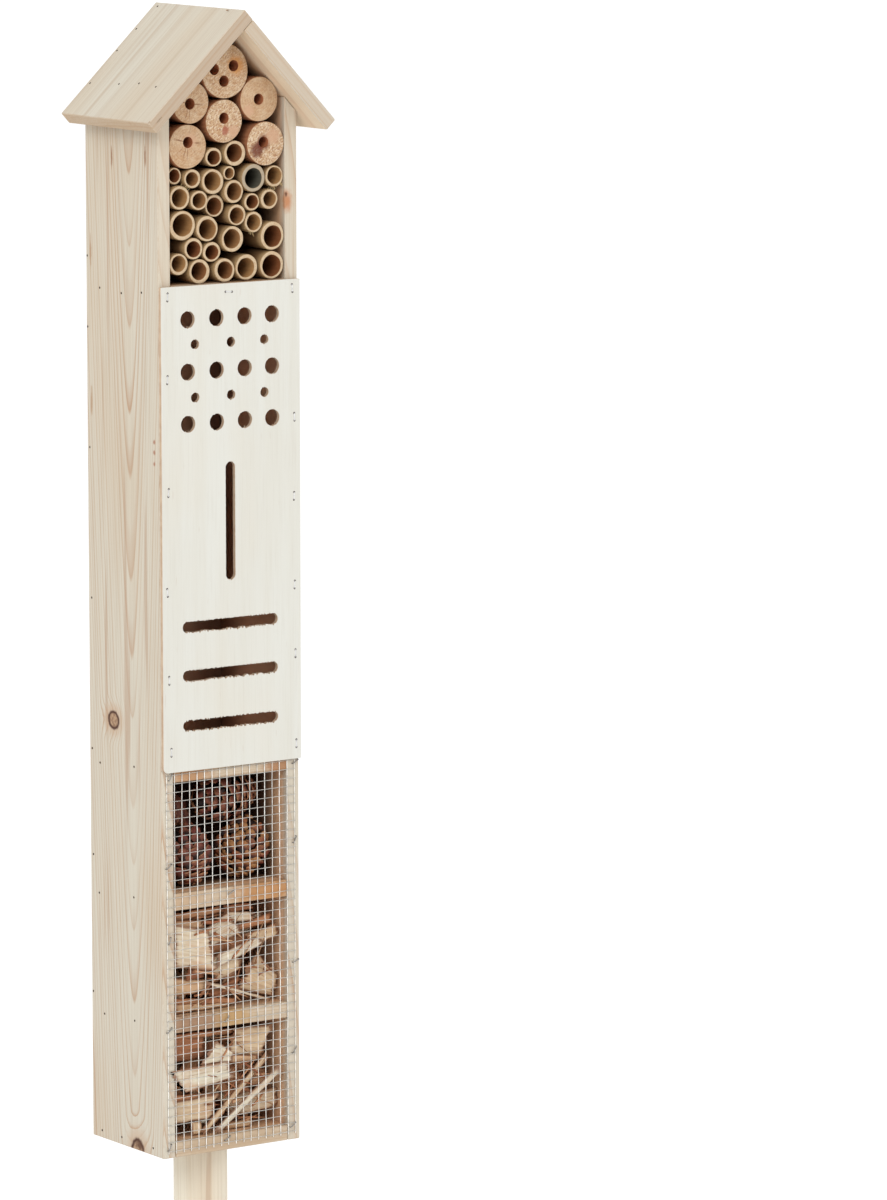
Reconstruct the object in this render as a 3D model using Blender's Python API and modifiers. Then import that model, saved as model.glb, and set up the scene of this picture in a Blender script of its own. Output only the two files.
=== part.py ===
"""An insect hotel: a tall, narrow timber house on a ground stake.

From top to bottom it holds six drilled logs under the gable, a bundle of bamboo tubes, a hollow
behind a drilled and slotted plywood panel, and three compartments behind welded wire mesh, with
pine cones in the first and wood chips in the other two. Nothing on it moves.

X runs across the front, Y from the front to the back, and Z up. The origin is on the stake's axis
at the soil line. Everything is in metres. Pieces that touch on the real object are GAP apart.
"""

import itertools
import math

import bmesh
import bpy
from mathutils import Matrix, Vector

MM = 0.001
GAP = 0.3 * MM

# House: boards, and heights above the house's underside
WIDTH = 116 * MM
BOARD = 10 * MM
DEPTH = 95 * MM
INNER_DEPTH = DEPTH - BOARD
INNER_HALF = WIDTH / 2 - BOARD
FRONT = -INNER_DEPTH / 2
BACK = FRONT + DEPTH
BOARD_EDGE = 0.5 * MM
SHELVES = {
    "base_plate": (0.0, 11.2),
    "chip_shelf": (90.0, 101.5),
    "cone_shelf": (178.5, 190.6),
    "panel_shelf": (270.5, 281.5),
    "tube_shelf": (610.5, 622.0),
}

# Roof: two boards at right angles, set a little askew, which meet at the ridge
RIDGE = Vector((2 * MM, 814 * MM))
LEFT_PITCH = math.radians(43.5)
SLOPE_LENGTH = 110 * MM
FRONT_OVERHANG = 20 * MM
DOWN_LEFT = Vector((-math.cos(LEFT_PITCH), -math.sin(LEFT_PITCH)))
DOWN_RIGHT = Vector((math.sin(LEFT_PITCH), -math.cos(LEFT_PITCH)))

# Stake, and the screw that holds the base plate down on it
HOUSE_BOTTOM = 180 * MM
STAKE_IN_SOIL = 206 * MM
STAKE_RADIUS = 19.5 * MM
POINT_LENGTH = 130 * MM
TIP_WIDTH = 13 * MM
SCREW_RADIUS = 2.5 * MM
SCREW_HEAD_RADIUS = 5 * MM
SCREW_HEAD_HEIGHT = 3 * MM
SCREW_LENGTH = 55 * MM
BORE_SLACK = 0.4 * MM

# Front panel of 3 mm plywood
PANEL_THICKNESS = 3 * MM
PANEL_BOTTOM = 278.5 * MM
PANEL_TOP = 622 * MM
LARGE_HOLE = 12 * MM
LARGE_COLUMNS = (-36, -12, 11.5, 34.5)
LARGE_ROWS = (598.3, 561.5, 524.8)
SMALL_HOLE = 7 * MM
SMALL_COLUMNS = (-30, 0, 28)
SMALL_ROWS = (580.7, 543.3)
SLOT_WIDTH = 8 * MM
UPRIGHT_SLOT = (-1, 454, 84 * MM)
LEVEL_SLOT_X = -1.5
LEVEL_SLOT_ROWS = (381, 346.3, 310.6)
LEVEL_SLOT_LENGTH = 80 * MM

# Wire mesh, here with one bar for every third wire of the real quarter-inch mesh
MESH_WIDTH = 108 * MM
MESH_BOTTOM = 6 * MM
MESH_TOP = 277.5 * MM
MESH_COLUMNS = 6
MESH_ROWS = 15
WIRE = 0.9 * MM

# Filling of the gable: name, x, height, diameter, recess, and the drilled holes' offsets
LOG_LENGTH = 80 * MM
LOG_HOLE = 8 * MM
LOG_HOLE_DEPTH = 60 * MM
LOGS = (
    ("log_top", 0, 770.5, 38.5, 0.5, ((-9, 1.5), (7, 3.5), (-1, -7))),
    ("log_upper_left", -29.3, 749.6, 30, 1.5, ((-0.7, -1),)),
    ("log_upper_right", 27.5, 748.8, 31.5, 1, ((-0.5, 0),)),
    ("log_centre", -2.2, 735.3, 30.5, 1, ((0, 2),)),
    ("log_lower_left", -32, 718.6, 31, 1.5, ((0.2, 3),)),
    ("log_lower_right", 30.2, 717.2, 31, 0.5, ((-1.8, 1),)),
)

# Logs and tubes are eased apart to this spacing, in millimetres
SPACING = 0.4
SETTLING_ROUNDS = 400

# Bundle of bamboo tubes: x, height, diameter, recess
TUBE_LENGTH = 78 * MM
TUBES = (
    (-10, 710.5, 14, 2), (6, 712, 18, 1), (-41.3, 698.5, 12, 4), (-28.3, 696.5, 14, 1.5),
    (-11.6, 692.6, 18.5, 1), (2, 698.7, 10, 1), (18.2, 696, 20, 0.5), (37, 695, 15.5, 1.5),
    (-39, 683, 17, 1), (-22, 681, 14.5, 1), (5, 684.5, 16.5, 0.5), (21, 678.3, 13, 1),
    (35.5, 679, 14.5, 1), (-4.5, 674, 16, 4.5), (-16.5, 666.3, 18.5, 0.5), (8.5, 669, 15, 1),
    (22, 663.3, 15, 1.5), (-35.6, 663.2, 21.5, 1), (37, 654, 20.5, 0.5), (4.2, 652.5, 18.5, 0.5),
    (-28, 646.8, 15.5, 1), (-12.6, 648.4, 15, 1.5), (-39.6, 637.2, 15.5, 1.5),
    (-23.2, 631.5, 17.5, 1), (-4.5, 631.4, 17.5, 0.5), (14.8, 632, 18.5, 0.5),
    (37, 633, 20, 0.5),
)

# Pine cones narrow towards one end
CONE_TAPER = 0.35

# Pine cones: centre (x, depth behind the front, height), length, diameter, and which way they lie
CONES = (
    ((25, 25, 212.5), 42, 38, (80, 35)),
    ((18, 38, 250), 54, 33, (-90, 10)),
    ((-23, 25, 213), 44, 37, (20, -30)),
)

# Wood chips: centre (x, depth, height), length, width, thickness, angle from level, taper
CHIPS = (
    ((-30.5, 5, 150.5), 30, 31, 3.5, -5, 0.9),
    ((-3.5, 10, 158), 31, 21, 4, 33, 0.7),
    ((20, 5.5, 146), 48, 11, 3, 21, 0.8),
    ((24.5, 10.5, 121), 38, 24, 4, -33, 0.5),
    ((-26, 10.5, 122), 34, 11, 3, -11, 0.6),
    ((-22, 3.5, 55.5), 50, 17, 4, 5, 0.8),
    ((21, 11.5, 74), 34, 18, 3.5, 2, 0.85),
    ((9, 8, 39.5), 66, 6, 2.5, 41, 0.6),
    ((17, 3.5, 34.5), 64, 6, 3, 37, 0.5),
    ((26, 13.5, 29), 32, 20, 3.5, 18, 0.7),
)

PINE = ("pine", (0.80, 0.70, 0.55), 0.65, 0.0)
PLYWOOD = ("plywood", (0.84, 0.79, 0.70), 0.60, 0.0)
LOG_WOOD = ("log_wood", (0.70, 0.48, 0.28), 0.75, 0.0)
BAMBOO = ("bamboo", (0.66, 0.52, 0.30), 0.50, 0.0)
CONE_BROWN = ("pine_cone", (0.26, 0.13, 0.07), 0.80, 0.0)
CHIP_WOOD = ("chip_wood", (0.76, 0.58, 0.38), 0.80, 0.0)
STAKE_WOOD = ("stake_wood", (0.82, 0.74, 0.60), 0.60, 0.0)
WIRE_STEEL = ("wire_steel", (0.66, 0.68, 0.70), 0.35, 1.0)
SCREW_STEEL = ("screw_steel", (0.55, 0.53, 0.50), 0.40, 1.0)


def clear_scene():
    for obj in list(bpy.data.objects):
        bpy.data.objects.remove(obj, do_unlink=True)


def new_collection(name, hidden=False):
    collection = bpy.data.collections.new(name)
    collection.hide_render = hidden
    bpy.context.scene.collection.children.link(collection)
    return collection


def material(recipe):
    """The Principled material of a recipe: name, colour, roughness, metallic."""
    name, colour, roughness, metallic = recipe
    if name not in bpy.data.materials:
        made = bpy.data.materials.new(name)
        made.use_nodes = True
        shader = made.node_tree.nodes["Principled BSDF"]
        shader.inputs["Base Color"].default_value = (*colour, 1.0)
        shader.inputs["Roughness"].default_value = roughness
        shader.inputs["Metallic"].default_value = metallic
        made.diffuse_color = (*colour, 1.0)
    return bpy.data.materials[name]


def place(name, mesh, recipe, location=(0, 0, 0), rotation=(0, 0, 0)):
    """A named piece of the hotel."""
    obj = bpy.data.objects.new(name, mesh)
    obj.location = location
    obj.rotation_euler = rotation
    obj.data.materials.append(material(recipe))
    hotel.objects.link(obj)
    return obj


def cutter(name, mesh, location=(0, 0, 0), rotation=(0, 0, 0)):
    obj = bpy.data.objects.new(name, mesh)
    obj.location = location
    obj.rotation_euler = rotation
    obj.hide_render = True
    obj.display_type = "WIRE"
    cutters.objects.link(obj)
    return obj


def cut_away(obj, tool):
    boolean = obj.modifiers.new("cut_" + tool.name, "BOOLEAN")
    boolean.operation = "DIFFERENCE"
    boolean.object = tool


def round_edges(obj, width=BOARD_EDGE):
    bevel = obj.modifiers.new("edges", "BEVEL")
    bevel.width = width
    bevel.segments = 1
    bevel.limit_method = "ANGLE"


def mesh_of(bm, name, smooth=False):
    mesh = bpy.data.meshes.new(name)
    bm.to_mesh(mesh)
    bm.free()
    if smooth:
        mesh.shade_smooth()
        mesh.set_sharp_from_angle(angle=math.radians(35))
    return mesh


def box(low, high):
    """A box between two corners, as a bmesh."""
    bm = bmesh.new()
    size = Vector(high) - Vector(low)
    centre = (Vector(high) + Vector(low)) / 2
    bmesh.ops.create_cube(bm, size=1.0, matrix=Matrix.Translation(centre) @ Matrix.Diagonal((*size, 1)))
    return bm


def saw(bm, point, normal):
    """Saws off what lies on the normal's side of a plane, and closes the cut."""
    everything = bm.verts[:] + bm.edges[:] + bm.faces[:]
    bmesh.ops.bisect_plane(bm, geom=everything, plane_co=point, plane_no=normal, clear_outer=True)
    bmesh.ops.holes_fill(bm, edges=[edge for edge in bm.edges if edge.is_boundary])
    bmesh.ops.recalc_face_normals(bm, faces=bm.faces)


def rod(radius, length, sides, capped=True):
    """A rod along Y from y = 0, as a bmesh."""
    bm = bmesh.new()
    lie_down = Matrix.Translation((0, length / 2, 0)) @ Matrix.Rotation(math.pi / 2, 4, "X")
    bmesh.ops.create_cone(bm, cap_ends=capped, segments=sides, radius1=radius, radius2=radius,
                          depth=length, matrix=lie_down)
    return bm


def above_underside(point):
    """A 2D point, given as x and the height above the house's underside, at y = 0."""
    return Vector((point[0], 0, point[1] + HOUSE_BOTTOM))


def behind_front(x, depth, height):
    """A point in millimetres: across, behind the front, above the house's underside."""
    return Vector((x * MM, FRONT + depth * MM, height * MM + HOUSE_BOTTOM))


def roof_axes(side):
    """Into the house and down the slope, for the roof board of one side."""
    return (DOWN_RIGHT, DOWN_LEFT) if side < 0 else (DOWN_LEFT, DOWN_RIGHT)


def saw_under_roof(bm, side):
    into_house, _ = roof_axes(side)
    underside = RIDGE + into_house * (BOARD + GAP)
    saw(bm, above_underside(underside), -Vector((into_house.x, 0, into_house.y)))


def make_side(name, side):
    """A side wall, sawn off along the underside of the roof board on it."""
    outer, inner = side * WIDTH / 2, side * INNER_HALF
    low = (min(outer, inner), FRONT, HOUSE_BOTTOM)
    high = (max(outer, inner), BACK, HOUSE_BOTTOM + RIDGE.y)
    bm = box(low, high)
    saw_under_roof(bm, side)
    round_edges(place(name, mesh_of(bm, name), PINE))


def make_back_panel():
    low = (-INNER_HALF + GAP, FRONT + INNER_DEPTH, HOUSE_BOTTOM)
    high = (INNER_HALF - GAP, BACK, HOUSE_BOTTOM + RIDGE.y)
    bm = box(low, high)
    for side in (-1, 1):
        saw_under_roof(bm, side)
    round_edges(place("back_panel", mesh_of(bm, "back_panel"), PINE))


def make_roof_board(name, side, start):
    """A roof board that begins a distance down its slope from the ridge."""
    _, down = roof_axes(side)
    length = SLOPE_LENGTH - start
    bm = box((0, FRONT - FRONT_OVERHANG, -BOARD), (length, BACK, 0))
    angle = math.atan2(-down.y, down.x)
    if side < 0:
        bmesh.ops.translate(bm, verts=bm.verts, vec=(0, 0, BOARD))
    corner = above_underside(RIDGE + down * start)
    round_edges(place(name, mesh_of(bm, name), PINE, corner, (0, angle, 0)))


def screw_drill(name, bottom):
    """An upright cutter on the stake's axis, a little wider than the screw's shank."""
    bore = mesh_of(rod(SCREW_RADIUS + BORE_SLACK, 2 * SCREW_LENGTH, 16), name)
    return cutter(name, bore, (0, 0, bottom), (math.pi / 2, 0, 0))


def make_shelves():
    for name, (bottom, top) in SHELVES.items():
        low = (-INNER_HALF + GAP, FRONT, HOUSE_BOTTOM + bottom * MM)
        high = (INNER_HALF - GAP, FRONT + INNER_DEPTH - GAP, HOUSE_BOTTOM + top * MM)
        shelf = place(name, mesh_of(box(low, high), name), PINE)
        round_edges(shelf)
        if name == "base_plate":
            cut_away(shelf, screw_drill("screw_hole", HOUSE_BOTTOM - SCREW_LENGTH))


def stadium(width, length, depth):
    """A round-ended bar along X, half of its depth on each side of y = 0, as a bmesh."""
    sides = 20
    bm = rod(width / 2, depth, sides)
    bmesh.ops.rotate(bm, verts=bm.verts, matrix=Matrix.Rotation(math.pi / sides, 3, "Y"))
    for vert in bm.verts:
        vert.co.x += math.copysign((length - width) / 2, vert.co.x)
        vert.co.y -= depth / 2
    return bm


def make_front_panel():
    low = (-WIDTH / 2, FRONT - GAP - PANEL_THICKNESS, HOUSE_BOTTOM + PANEL_BOTTOM)
    high = (WIDTH / 2, FRONT - GAP, HOUSE_BOTTOM + PANEL_TOP)
    panel = place("front_panel", mesh_of(box(low, high), "front_panel"), PLYWOOD)
    round_edges(panel, 0.2 * MM)
    through = 6 * PANEL_THICKNESS
    for rows, columns, size, sides in (
        (LARGE_ROWS, LARGE_COLUMNS, LARGE_HOLE, 24),
        (SMALL_ROWS, SMALL_COLUMNS, SMALL_HOLE, 16),
    ):
        for row in rows:
            for column in columns:
                drill = mesh_of(rod(size / 2, through, sides), "drill")
                cut_away(panel, cutter("drill", drill, behind_front(column, -through / MM / 2, row)))
    slots = [(LEVEL_SLOT_X, row, LEVEL_SLOT_LENGTH, 0) for row in LEVEL_SLOT_ROWS]
    slots.append((*UPRIGHT_SLOT, math.pi / 2))
    for x, height, length, turn in slots:
        router = mesh_of(stadium(SLOT_WIDTH, length, through), "router")
        cut_away(panel, cutter("router", router, behind_front(x, 0, height), (0, turn, 0)))


def rectangle(curve, low, high):
    spline = curve.splines.new("POLY")
    spline.points.add(3)
    spline.use_cyclic_u = True
    corners = ((low[0], low[1]), (high[0], low[1]), (high[0], high[1]), (low[0], high[1]))
    for point, corner in zip(spline.points, corners):
        point.co = (*corner, 0, 1)


def make_wire_mesh():
    """A flat lattice: an outline with a window between every two bars."""
    curve = bpy.data.curves.new("wire_mesh", "CURVE")
    curve.dimensions = "2D"
    curve.fill_mode = "BOTH"
    curve.extrude = WIRE / 2
    left, right = -MESH_WIDTH / 2, MESH_WIDTH / 2
    rectangle(curve, (left - WIRE / 2, MESH_BOTTOM), (right + WIRE / 2, MESH_TOP))
    step_x = MESH_WIDTH / MESH_COLUMNS
    step_z = (MESH_TOP - MESH_BOTTOM - WIRE) / MESH_ROWS
    for column in range(MESH_COLUMNS):
        for row in range(MESH_ROWS):
            corner = Vector((left + column * step_x + WIRE / 2, MESH_BOTTOM + WIRE + row * step_z))
            rectangle(curve, corner, corner + Vector((step_x - WIRE, step_z - WIRE)))
    front_of_walls = (0, FRONT - GAP - WIRE / 2, HOUSE_BOTTOM)
    place("wire_mesh", curve, WIRE_STEEL, front_of_walls, (math.pi / 2, 0, 0))


def make_stake():
    """A round stake, sawn obliquely to a blunt point, with a pilot hole down its top."""
    length = HOUSE_BOTTOM - GAP + STAKE_IN_SOIL
    bm = rod(STAKE_RADIUS, length, 32)
    bmesh.ops.rotate(bm, verts=bm.verts, matrix=Matrix.Rotation(math.pi / 2, 3, "X"))
    bmesh.ops.translate(bm, verts=bm.verts, vec=(0, 0, -STAKE_IN_SOIL))
    tip = Vector((STAKE_RADIUS - TIP_WIDTH, 0, -STAKE_IN_SOIL))
    top = Vector((-STAKE_RADIUS, 0, -STAKE_IN_SOIL + POINT_LENGTH))
    slope = (top - tip).normalized()
    saw(bm, tip, Vector((-slope.z, 0, slope.x)))
    stake = place("stake", mesh_of(bm, "stake", smooth=True), STAKE_WOOD)
    cut_away(stake, screw_drill("pilot", HOUSE_BOTTOM - SCREW_LENGTH))


def turned(name, profile, recipe, location, steps=16):
    """A piece turned about Z: its profile runs down the outer side at +X."""
    bm = bmesh.new()
    verts = [bm.verts.new((radius, 0, height)) for radius, height in profile]
    for upper, lower in zip(verts, verts[1:]):
        bm.edges.new((upper, lower))
    obj = place(name, mesh_of(bm, name), recipe, location)
    screw = obj.modifiers.new("turn", "SCREW")
    screw.axis = "Z"
    screw.steps = steps
    screw.render_steps = steps
    screw.use_merge_vertices = True
    screw.merge_threshold = 0.00001
    return obj


def make_stake_screw():
    """A pan-head screw: its head stands on the base plate and its shank ends inside the stake."""
    under_head = SHELVES["base_plate"][1] * MM + GAP
    reach = under_head - SCREW_LENGTH
    profile = (
        (0, under_head + SCREW_HEAD_HEIGHT),
        (SCREW_HEAD_RADIUS * 0.7, under_head + SCREW_HEAD_HEIGHT),
        (SCREW_HEAD_RADIUS, under_head + SCREW_HEAD_HEIGHT / 2),
        (SCREW_HEAD_RADIUS, under_head),
        (SCREW_RADIUS, under_head),
        (SCREW_RADIUS, reach + 2 * SCREW_RADIUS),
        (0, reach),
    )
    turned("stake_screw", profile, SCREW_STEEL, (0, 0, HOUSE_BOTTOM))


def settle(rounds):
    """Eases round pieces (x, height, diameter, in mm) apart until none is closer than a hair.

    They stay above the tube shelf, between the walls and under the roof boards.
    """
    spots = [Vector(piece[:2]) for piece in rounds]
    radii = [piece[2] / 2 + SPACING / 2 for piece in rounds]
    floor = SHELVES["tube_shelf"][1]
    wall = INNER_HALF / MM
    ridge = RIDGE / MM
    for _ in range(SETTLING_ROUNDS):
        for a, b in itertools.combinations(range(len(spots)), 2):
            apart = spots[b] - spots[a]
            overlap = radii[a] + radii[b] - apart.length
            if overlap > 0:
                push = apart.normalized() * overlap / 2
                spots[a] -= push
                spots[b] += push
        for spot, radius in zip(spots, radii):
            spot.x = min(max(spot.x, radius - wall), wall - radius)
            spot.y = max(spot.y, floor + radius)
            for inwards in (DOWN_LEFT, DOWN_RIGHT):
                room = (spot - ridge).dot(inwards) - BOARD / MM - radius
                spot -= inwards * min(room, 0)
    return spots


def make_logs(spots):
    for (name, _, _, size, recess, holes), (x, height) in zip(LOGS, spots):
        log = rod(size * MM / 2, LOG_LENGTH, 32)
        piece = place(name, mesh_of(log, name, smooth=True), LOG_WOOD, behind_front(x, recess, height))
        for number, (aside, up) in enumerate(holes):
            drill = mesh_of(rod(LOG_HOLE / 2, 2 * LOG_HOLE_DEPTH, 16), "log_drill")
            start = behind_front(x + aside, recess, height + up) - Vector((0, LOG_HOLE_DEPTH, 0))
            cut_away(piece, cutter(f"{name}_drill_{number}", drill, start))


def make_tubes(spots):
    """Open bamboo tubes; the wall is about an eighth of the diameter."""
    for number, ((_, _, size, recess), (x, height)) in enumerate(zip(TUBES, spots), 1):
        name = f"bamboo_tube_{number:02d}"
        skin = mesh_of(rod(size * MM / 2, TUBE_LENGTH, 16, capped=False), name, smooth=True)
        tube = place(name, skin, BAMBOO, behind_front(x, recess, height))
        wall = tube.modifiers.new("wall", "SOLIDIFY")
        wall.thickness = size * MM / 8 + 0.3 * MM
        wall.offset = -1


def make_cones():
    """Plain egg-shaped solids of the cones' outer size."""
    for number, (centre, length, size, (turn, tilt)) in enumerate(CONES, 1):
        name = f"pine_cone_{number}"
        bm = bmesh.new()
        bmesh.ops.create_uvsphere(bm, u_segments=16, v_segments=10, radius=0.5)
        for vert in bm.verts:
            girth = size * MM * (1 - CONE_TAPER * vert.co.z)
            vert.co.x *= girth
            vert.co.y *= girth
            vert.co.z *= length * MM
        angles = (0, math.radians(turn), math.radians(tilt))
        place(name, mesh_of(bm, name, smooth=True), CONE_BROWN, behind_front(*centre), angles)


def make_chips():
    """Flat split chips that taper towards one end."""
    for number, (centre, length, width, thickness, angle, taper) in enumerate(CHIPS, 1):
        name = f"wood_chip_{number:02d}"
        half = Vector((length, thickness, width)) * MM / 2
        bm = box(-half, half)
        for vert in bm.verts:
            if vert.co.x > 0:
                vert.co.z *= taper
        place(name, mesh_of(bm, name), CHIP_WOOD, behind_front(*centre), (0, -math.radians(angle), 0))


clear_scene()
hotel = new_collection("insect_hotel")
cutters = new_collection("cutters", hidden=True)
make_side("side_left", -1)
make_side("side_right", 1)
make_back_panel()
make_roof_board("roof_left", -1, 0)
make_roof_board("roof_right", 1, BOARD + GAP)
make_shelves()
make_front_panel()
make_wire_mesh()
make_stake()
make_stake_screw()
places = settle([log[1:4] for log in LOGS] + [tube[:3] for tube in TUBES])
make_logs(places[:len(LOGS)])
make_tubes(places[len(LOGS):])
make_cones()
make_chips()
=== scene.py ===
"""The finished insect hotel: materials, fine shapes and a photo studio round its fixed CAD frame.

X runs across the front, Y to the back and Z up, in metres, with the origin on the stake's axis at
the soil line. Tables of sizes and places are in millimetres.
"""

import math
import random

import bmesh
import bpy
from mathutils import Matrix, Vector, noise


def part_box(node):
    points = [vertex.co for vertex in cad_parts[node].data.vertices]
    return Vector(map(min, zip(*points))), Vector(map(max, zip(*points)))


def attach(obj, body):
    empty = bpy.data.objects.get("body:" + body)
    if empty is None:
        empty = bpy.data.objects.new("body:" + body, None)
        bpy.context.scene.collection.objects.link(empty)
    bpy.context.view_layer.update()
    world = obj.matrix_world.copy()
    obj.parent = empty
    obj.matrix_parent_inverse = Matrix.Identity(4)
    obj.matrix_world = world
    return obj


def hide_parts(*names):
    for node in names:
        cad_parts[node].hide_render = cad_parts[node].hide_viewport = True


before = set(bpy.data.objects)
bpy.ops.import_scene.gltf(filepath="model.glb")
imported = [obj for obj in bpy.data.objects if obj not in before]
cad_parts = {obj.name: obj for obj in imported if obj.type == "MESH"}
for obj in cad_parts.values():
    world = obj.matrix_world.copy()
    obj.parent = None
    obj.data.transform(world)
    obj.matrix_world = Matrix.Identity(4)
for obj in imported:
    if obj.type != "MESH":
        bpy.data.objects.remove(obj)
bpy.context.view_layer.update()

MM = 0.001
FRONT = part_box("side_left")[0].y
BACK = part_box("side_left")[1].y
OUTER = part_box("side_right")[1].x
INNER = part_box("side_right")[0].x
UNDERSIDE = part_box("base_plate")[0].z
SOIL_DEPTH = -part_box("stake")[0].z
CHIPS_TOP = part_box("cone_shelf")[0].z
PANEL_SPACE = (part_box("panel_shelf")[1].z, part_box("tube_shelf")[0].z)
X_AXIS, Y_AXIS, Z_AXIS = Vector((1, 0, 0)), Vector((0, 1, 0)), Vector((0, 0, 1))
STAND_UP = Matrix.Rotation(math.pi / 2, 4, "X")

# Camera and light
CAMERA_PLACE = (-2.4839, -3.8700, 1.2585)
CAMERA_TURN = (81.5, 0.0, -34.88)
CAMERA_LENS = 195.78
ALBEDO = 0.60

# Roof: the ridge's place, and the way down the left and the right board; arrises are eased a little
RIDGE = (2, 814)
LEFT_PITCH = math.radians(43.5)
DOWN_LEFT = Vector((-math.cos(LEFT_PITCH), 0, -math.sin(LEFT_PITCH)))
DOWN_RIGHT = Vector((math.sin(LEFT_PITCH), 0, -math.cos(LEFT_PITCH)))
ARRIS = 0.35
FLAT_AREA = 20 * MM ** 2

# Front panel
LARGE_HOLE, LARGE_COLUMNS, LARGE_ROWS = 12, (-36, -12, 11.5, 34.5), (598.3, 561.5, 524.8)
SMALL_HOLE, SMALL_COLUMNS, SMALL_ROWS = 7, (-30, 0, 28), (580.7, 543.3)
SLOT_WIDTH = 8
LEVEL_SLOTS = tuple((-1.5, row, 80) for row in (381, 346.3, 310.6))
UPRIGHT_SLOT = (-1, 454, 84)
PANEL_CORNERS = ((-1, -1, 3.5), (1, -1, 1.0), (1, 1, 0.8), (-1, 1, 0.8))

# Welded wire mesh
MESH_PITCH = 6.35
MESH_COLUMNS, MESH_ROWS = 18, 44
MESH_LEFT, MESH_TOP, MESH_SLOPE = -54, 276.5, 0.012
WIRE = 0.59

# Fixings: panel staples (x, height), mesh staples (x, height, lean in degrees), and nails
# (depth behind the front, height) in a side wall, and (depth, distance from the ridge) on the roof
PANEL_STAPLES = (
    (-52.5, 615), (51.7, 615.5), (-53, 557), (53.2, 524), (-52.6, 477.5), (52.7, 467.5),
    (-54, 407), (53, 404), (-53, 344.5), (53.5, 354.5), (-51.5, 293), (54, 289.5),
)
TOP_STAPLE = (-1.6, 616)
STAPLE_SPAN = 5.4
MESH_STAPLES = (
    (-51, 275, 60), (-52.6, 211, 35), (-52.5, 157.5, 70), (-53, 93, 40), (-53.4, 8, 60),
    (54.5, 276, 30), (53.8, 219.5, 60), (54.4, 131, 20), (53, 66, 55), (51.5, 11, 35),
    (-0.7, 187, 25), (-4.6, 95.5, 50), (-4.6, 8.5, 30),
)
SIDE_NAILS = (
    (77, 615.5), (48.5, 614), (22, 616.5), (94, 637), (94, 586.5), (92, 500.5), (91, 392.5),
    (92, 283.5), (81.5, 274.5), (36, 278), (91.5, 206.5), (84, 179.5), (37.5, 183.5),
    (93, 106), (78, 92), (37.5, 94), (82.5, 5.5), (56, 5.5), (14, 5.5),
)
ROOF_NAILS = ((88.5, 4), (91, 26.5), (92, 48), (91, 80), (55, 78), (31.5, 75.5), (8, 77))
BACK_NAIL_ROWS, BACK_NAIL_COLUMNS = (6, 96, 184, 276, 616), (-34, 1, 33)

# Shelves: browner patches along the front edge (x, reach, colour)
SHELF_PATCHES = {
    "tube_shelf": ((20, 30, (208, 154, 98)),),
    "panel_shelf": ((-34, 22, (200, 148, 102)), (44, 18, (186, 130, 86))),
    "cone_shelf": ((-40, 30, (214, 182, 148)), (32, 38, (200, 138, 76))),
    "chip_shelf": ((-32, 40, (168, 126, 94)), (2, 18, (206, 164, 108))),
    "base_plate": ((0, 60, (208, 180, 148)),),
}

# Logs: drilled holes (x, height from the centre), pith, ring spacing, how coarse the sawn end is,
# how strongly it is split, and stains (x, height, radius, colour)
GOLD, KNOT_RED, STAIN, BLUSH = (218, 152, 86), (176, 98, 74), (112, 48, 34), (222, 178, 144)
LOG_HOLE = 8
LOG_HOLE_DEPTH = 60
LOGS = {
    "log_top": (((-9, 1.5), (7, 3.5), (-1, -7)), (1, -2), 1.5, 0.6, 0.0, ((9, 4, 9, GOLD),)),
    "log_upper_left": (((-0.7, -1),), (-1, -1), 1.3, 0.3, 0.7, ()),
    "log_upper_right": (((-0.5, 0),), (-2, 1), 2.1, 0.1, 0.1, ((-9, -8, 6, BLUSH),)),
    "log_centre": (((0, 2),), (1, 4), 1.4, 0.9, 0.0, ((1, -6.5, 4.2, KNOT_RED), (8, -8, 6, BLUSH))),
    "log_lower_left": (((0.2, 3),), (0, 3), 1.9, 0.15, 0.8, ((2, 4, 7, BLUSH),)),
    "log_lower_right": (((-1.8, 1),), (-1, 0), 1.5, 1.0, 0.0,
                        ((-7, -4, 7.5, STAIN), (-1.8, 1, 7.2, STAIN), (6, 5, 8, BLUSH))),
}

# Bamboo: tubes whose tone isn't left to chance, and torn fibres at rims (tube, degrees from X)
TUBE_TONES = {"bamboo_tube_07": 2.0, "bamboo_tube_03": 1.0}
TUBE_FIBRES = (
    ("bamboo_tube_09", 60), ("bamboo_tube_08", 290), ("bamboo_tube_13", 80), ("bamboo_tube_17", 235),
)

# Pine cones: centre (x, depth, height), length, diameter, direction, and colour of the scale tips;
# the last one lies behind the others
CONES = (
    ("pine_cone_1", (25, 25, 213), 44, 38, (24, -30), (186, 130, 78)),
    ("pine_cone_2", (18, 37, 250), 56, 35, (-96, 10), (148, 86, 62)),
    ("pine_cone_3", (-23, 25, 213), 45, 38, (-14, -30), (146, 86, 64)),
    ("pine_cone_behind", (-22, 56, 236), 52, 38, (100, 60), (120, 70, 50)),
)
SCALES_PER_CONE = 104
GOLDEN_ANGLE = math.radians(137.508)

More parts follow.
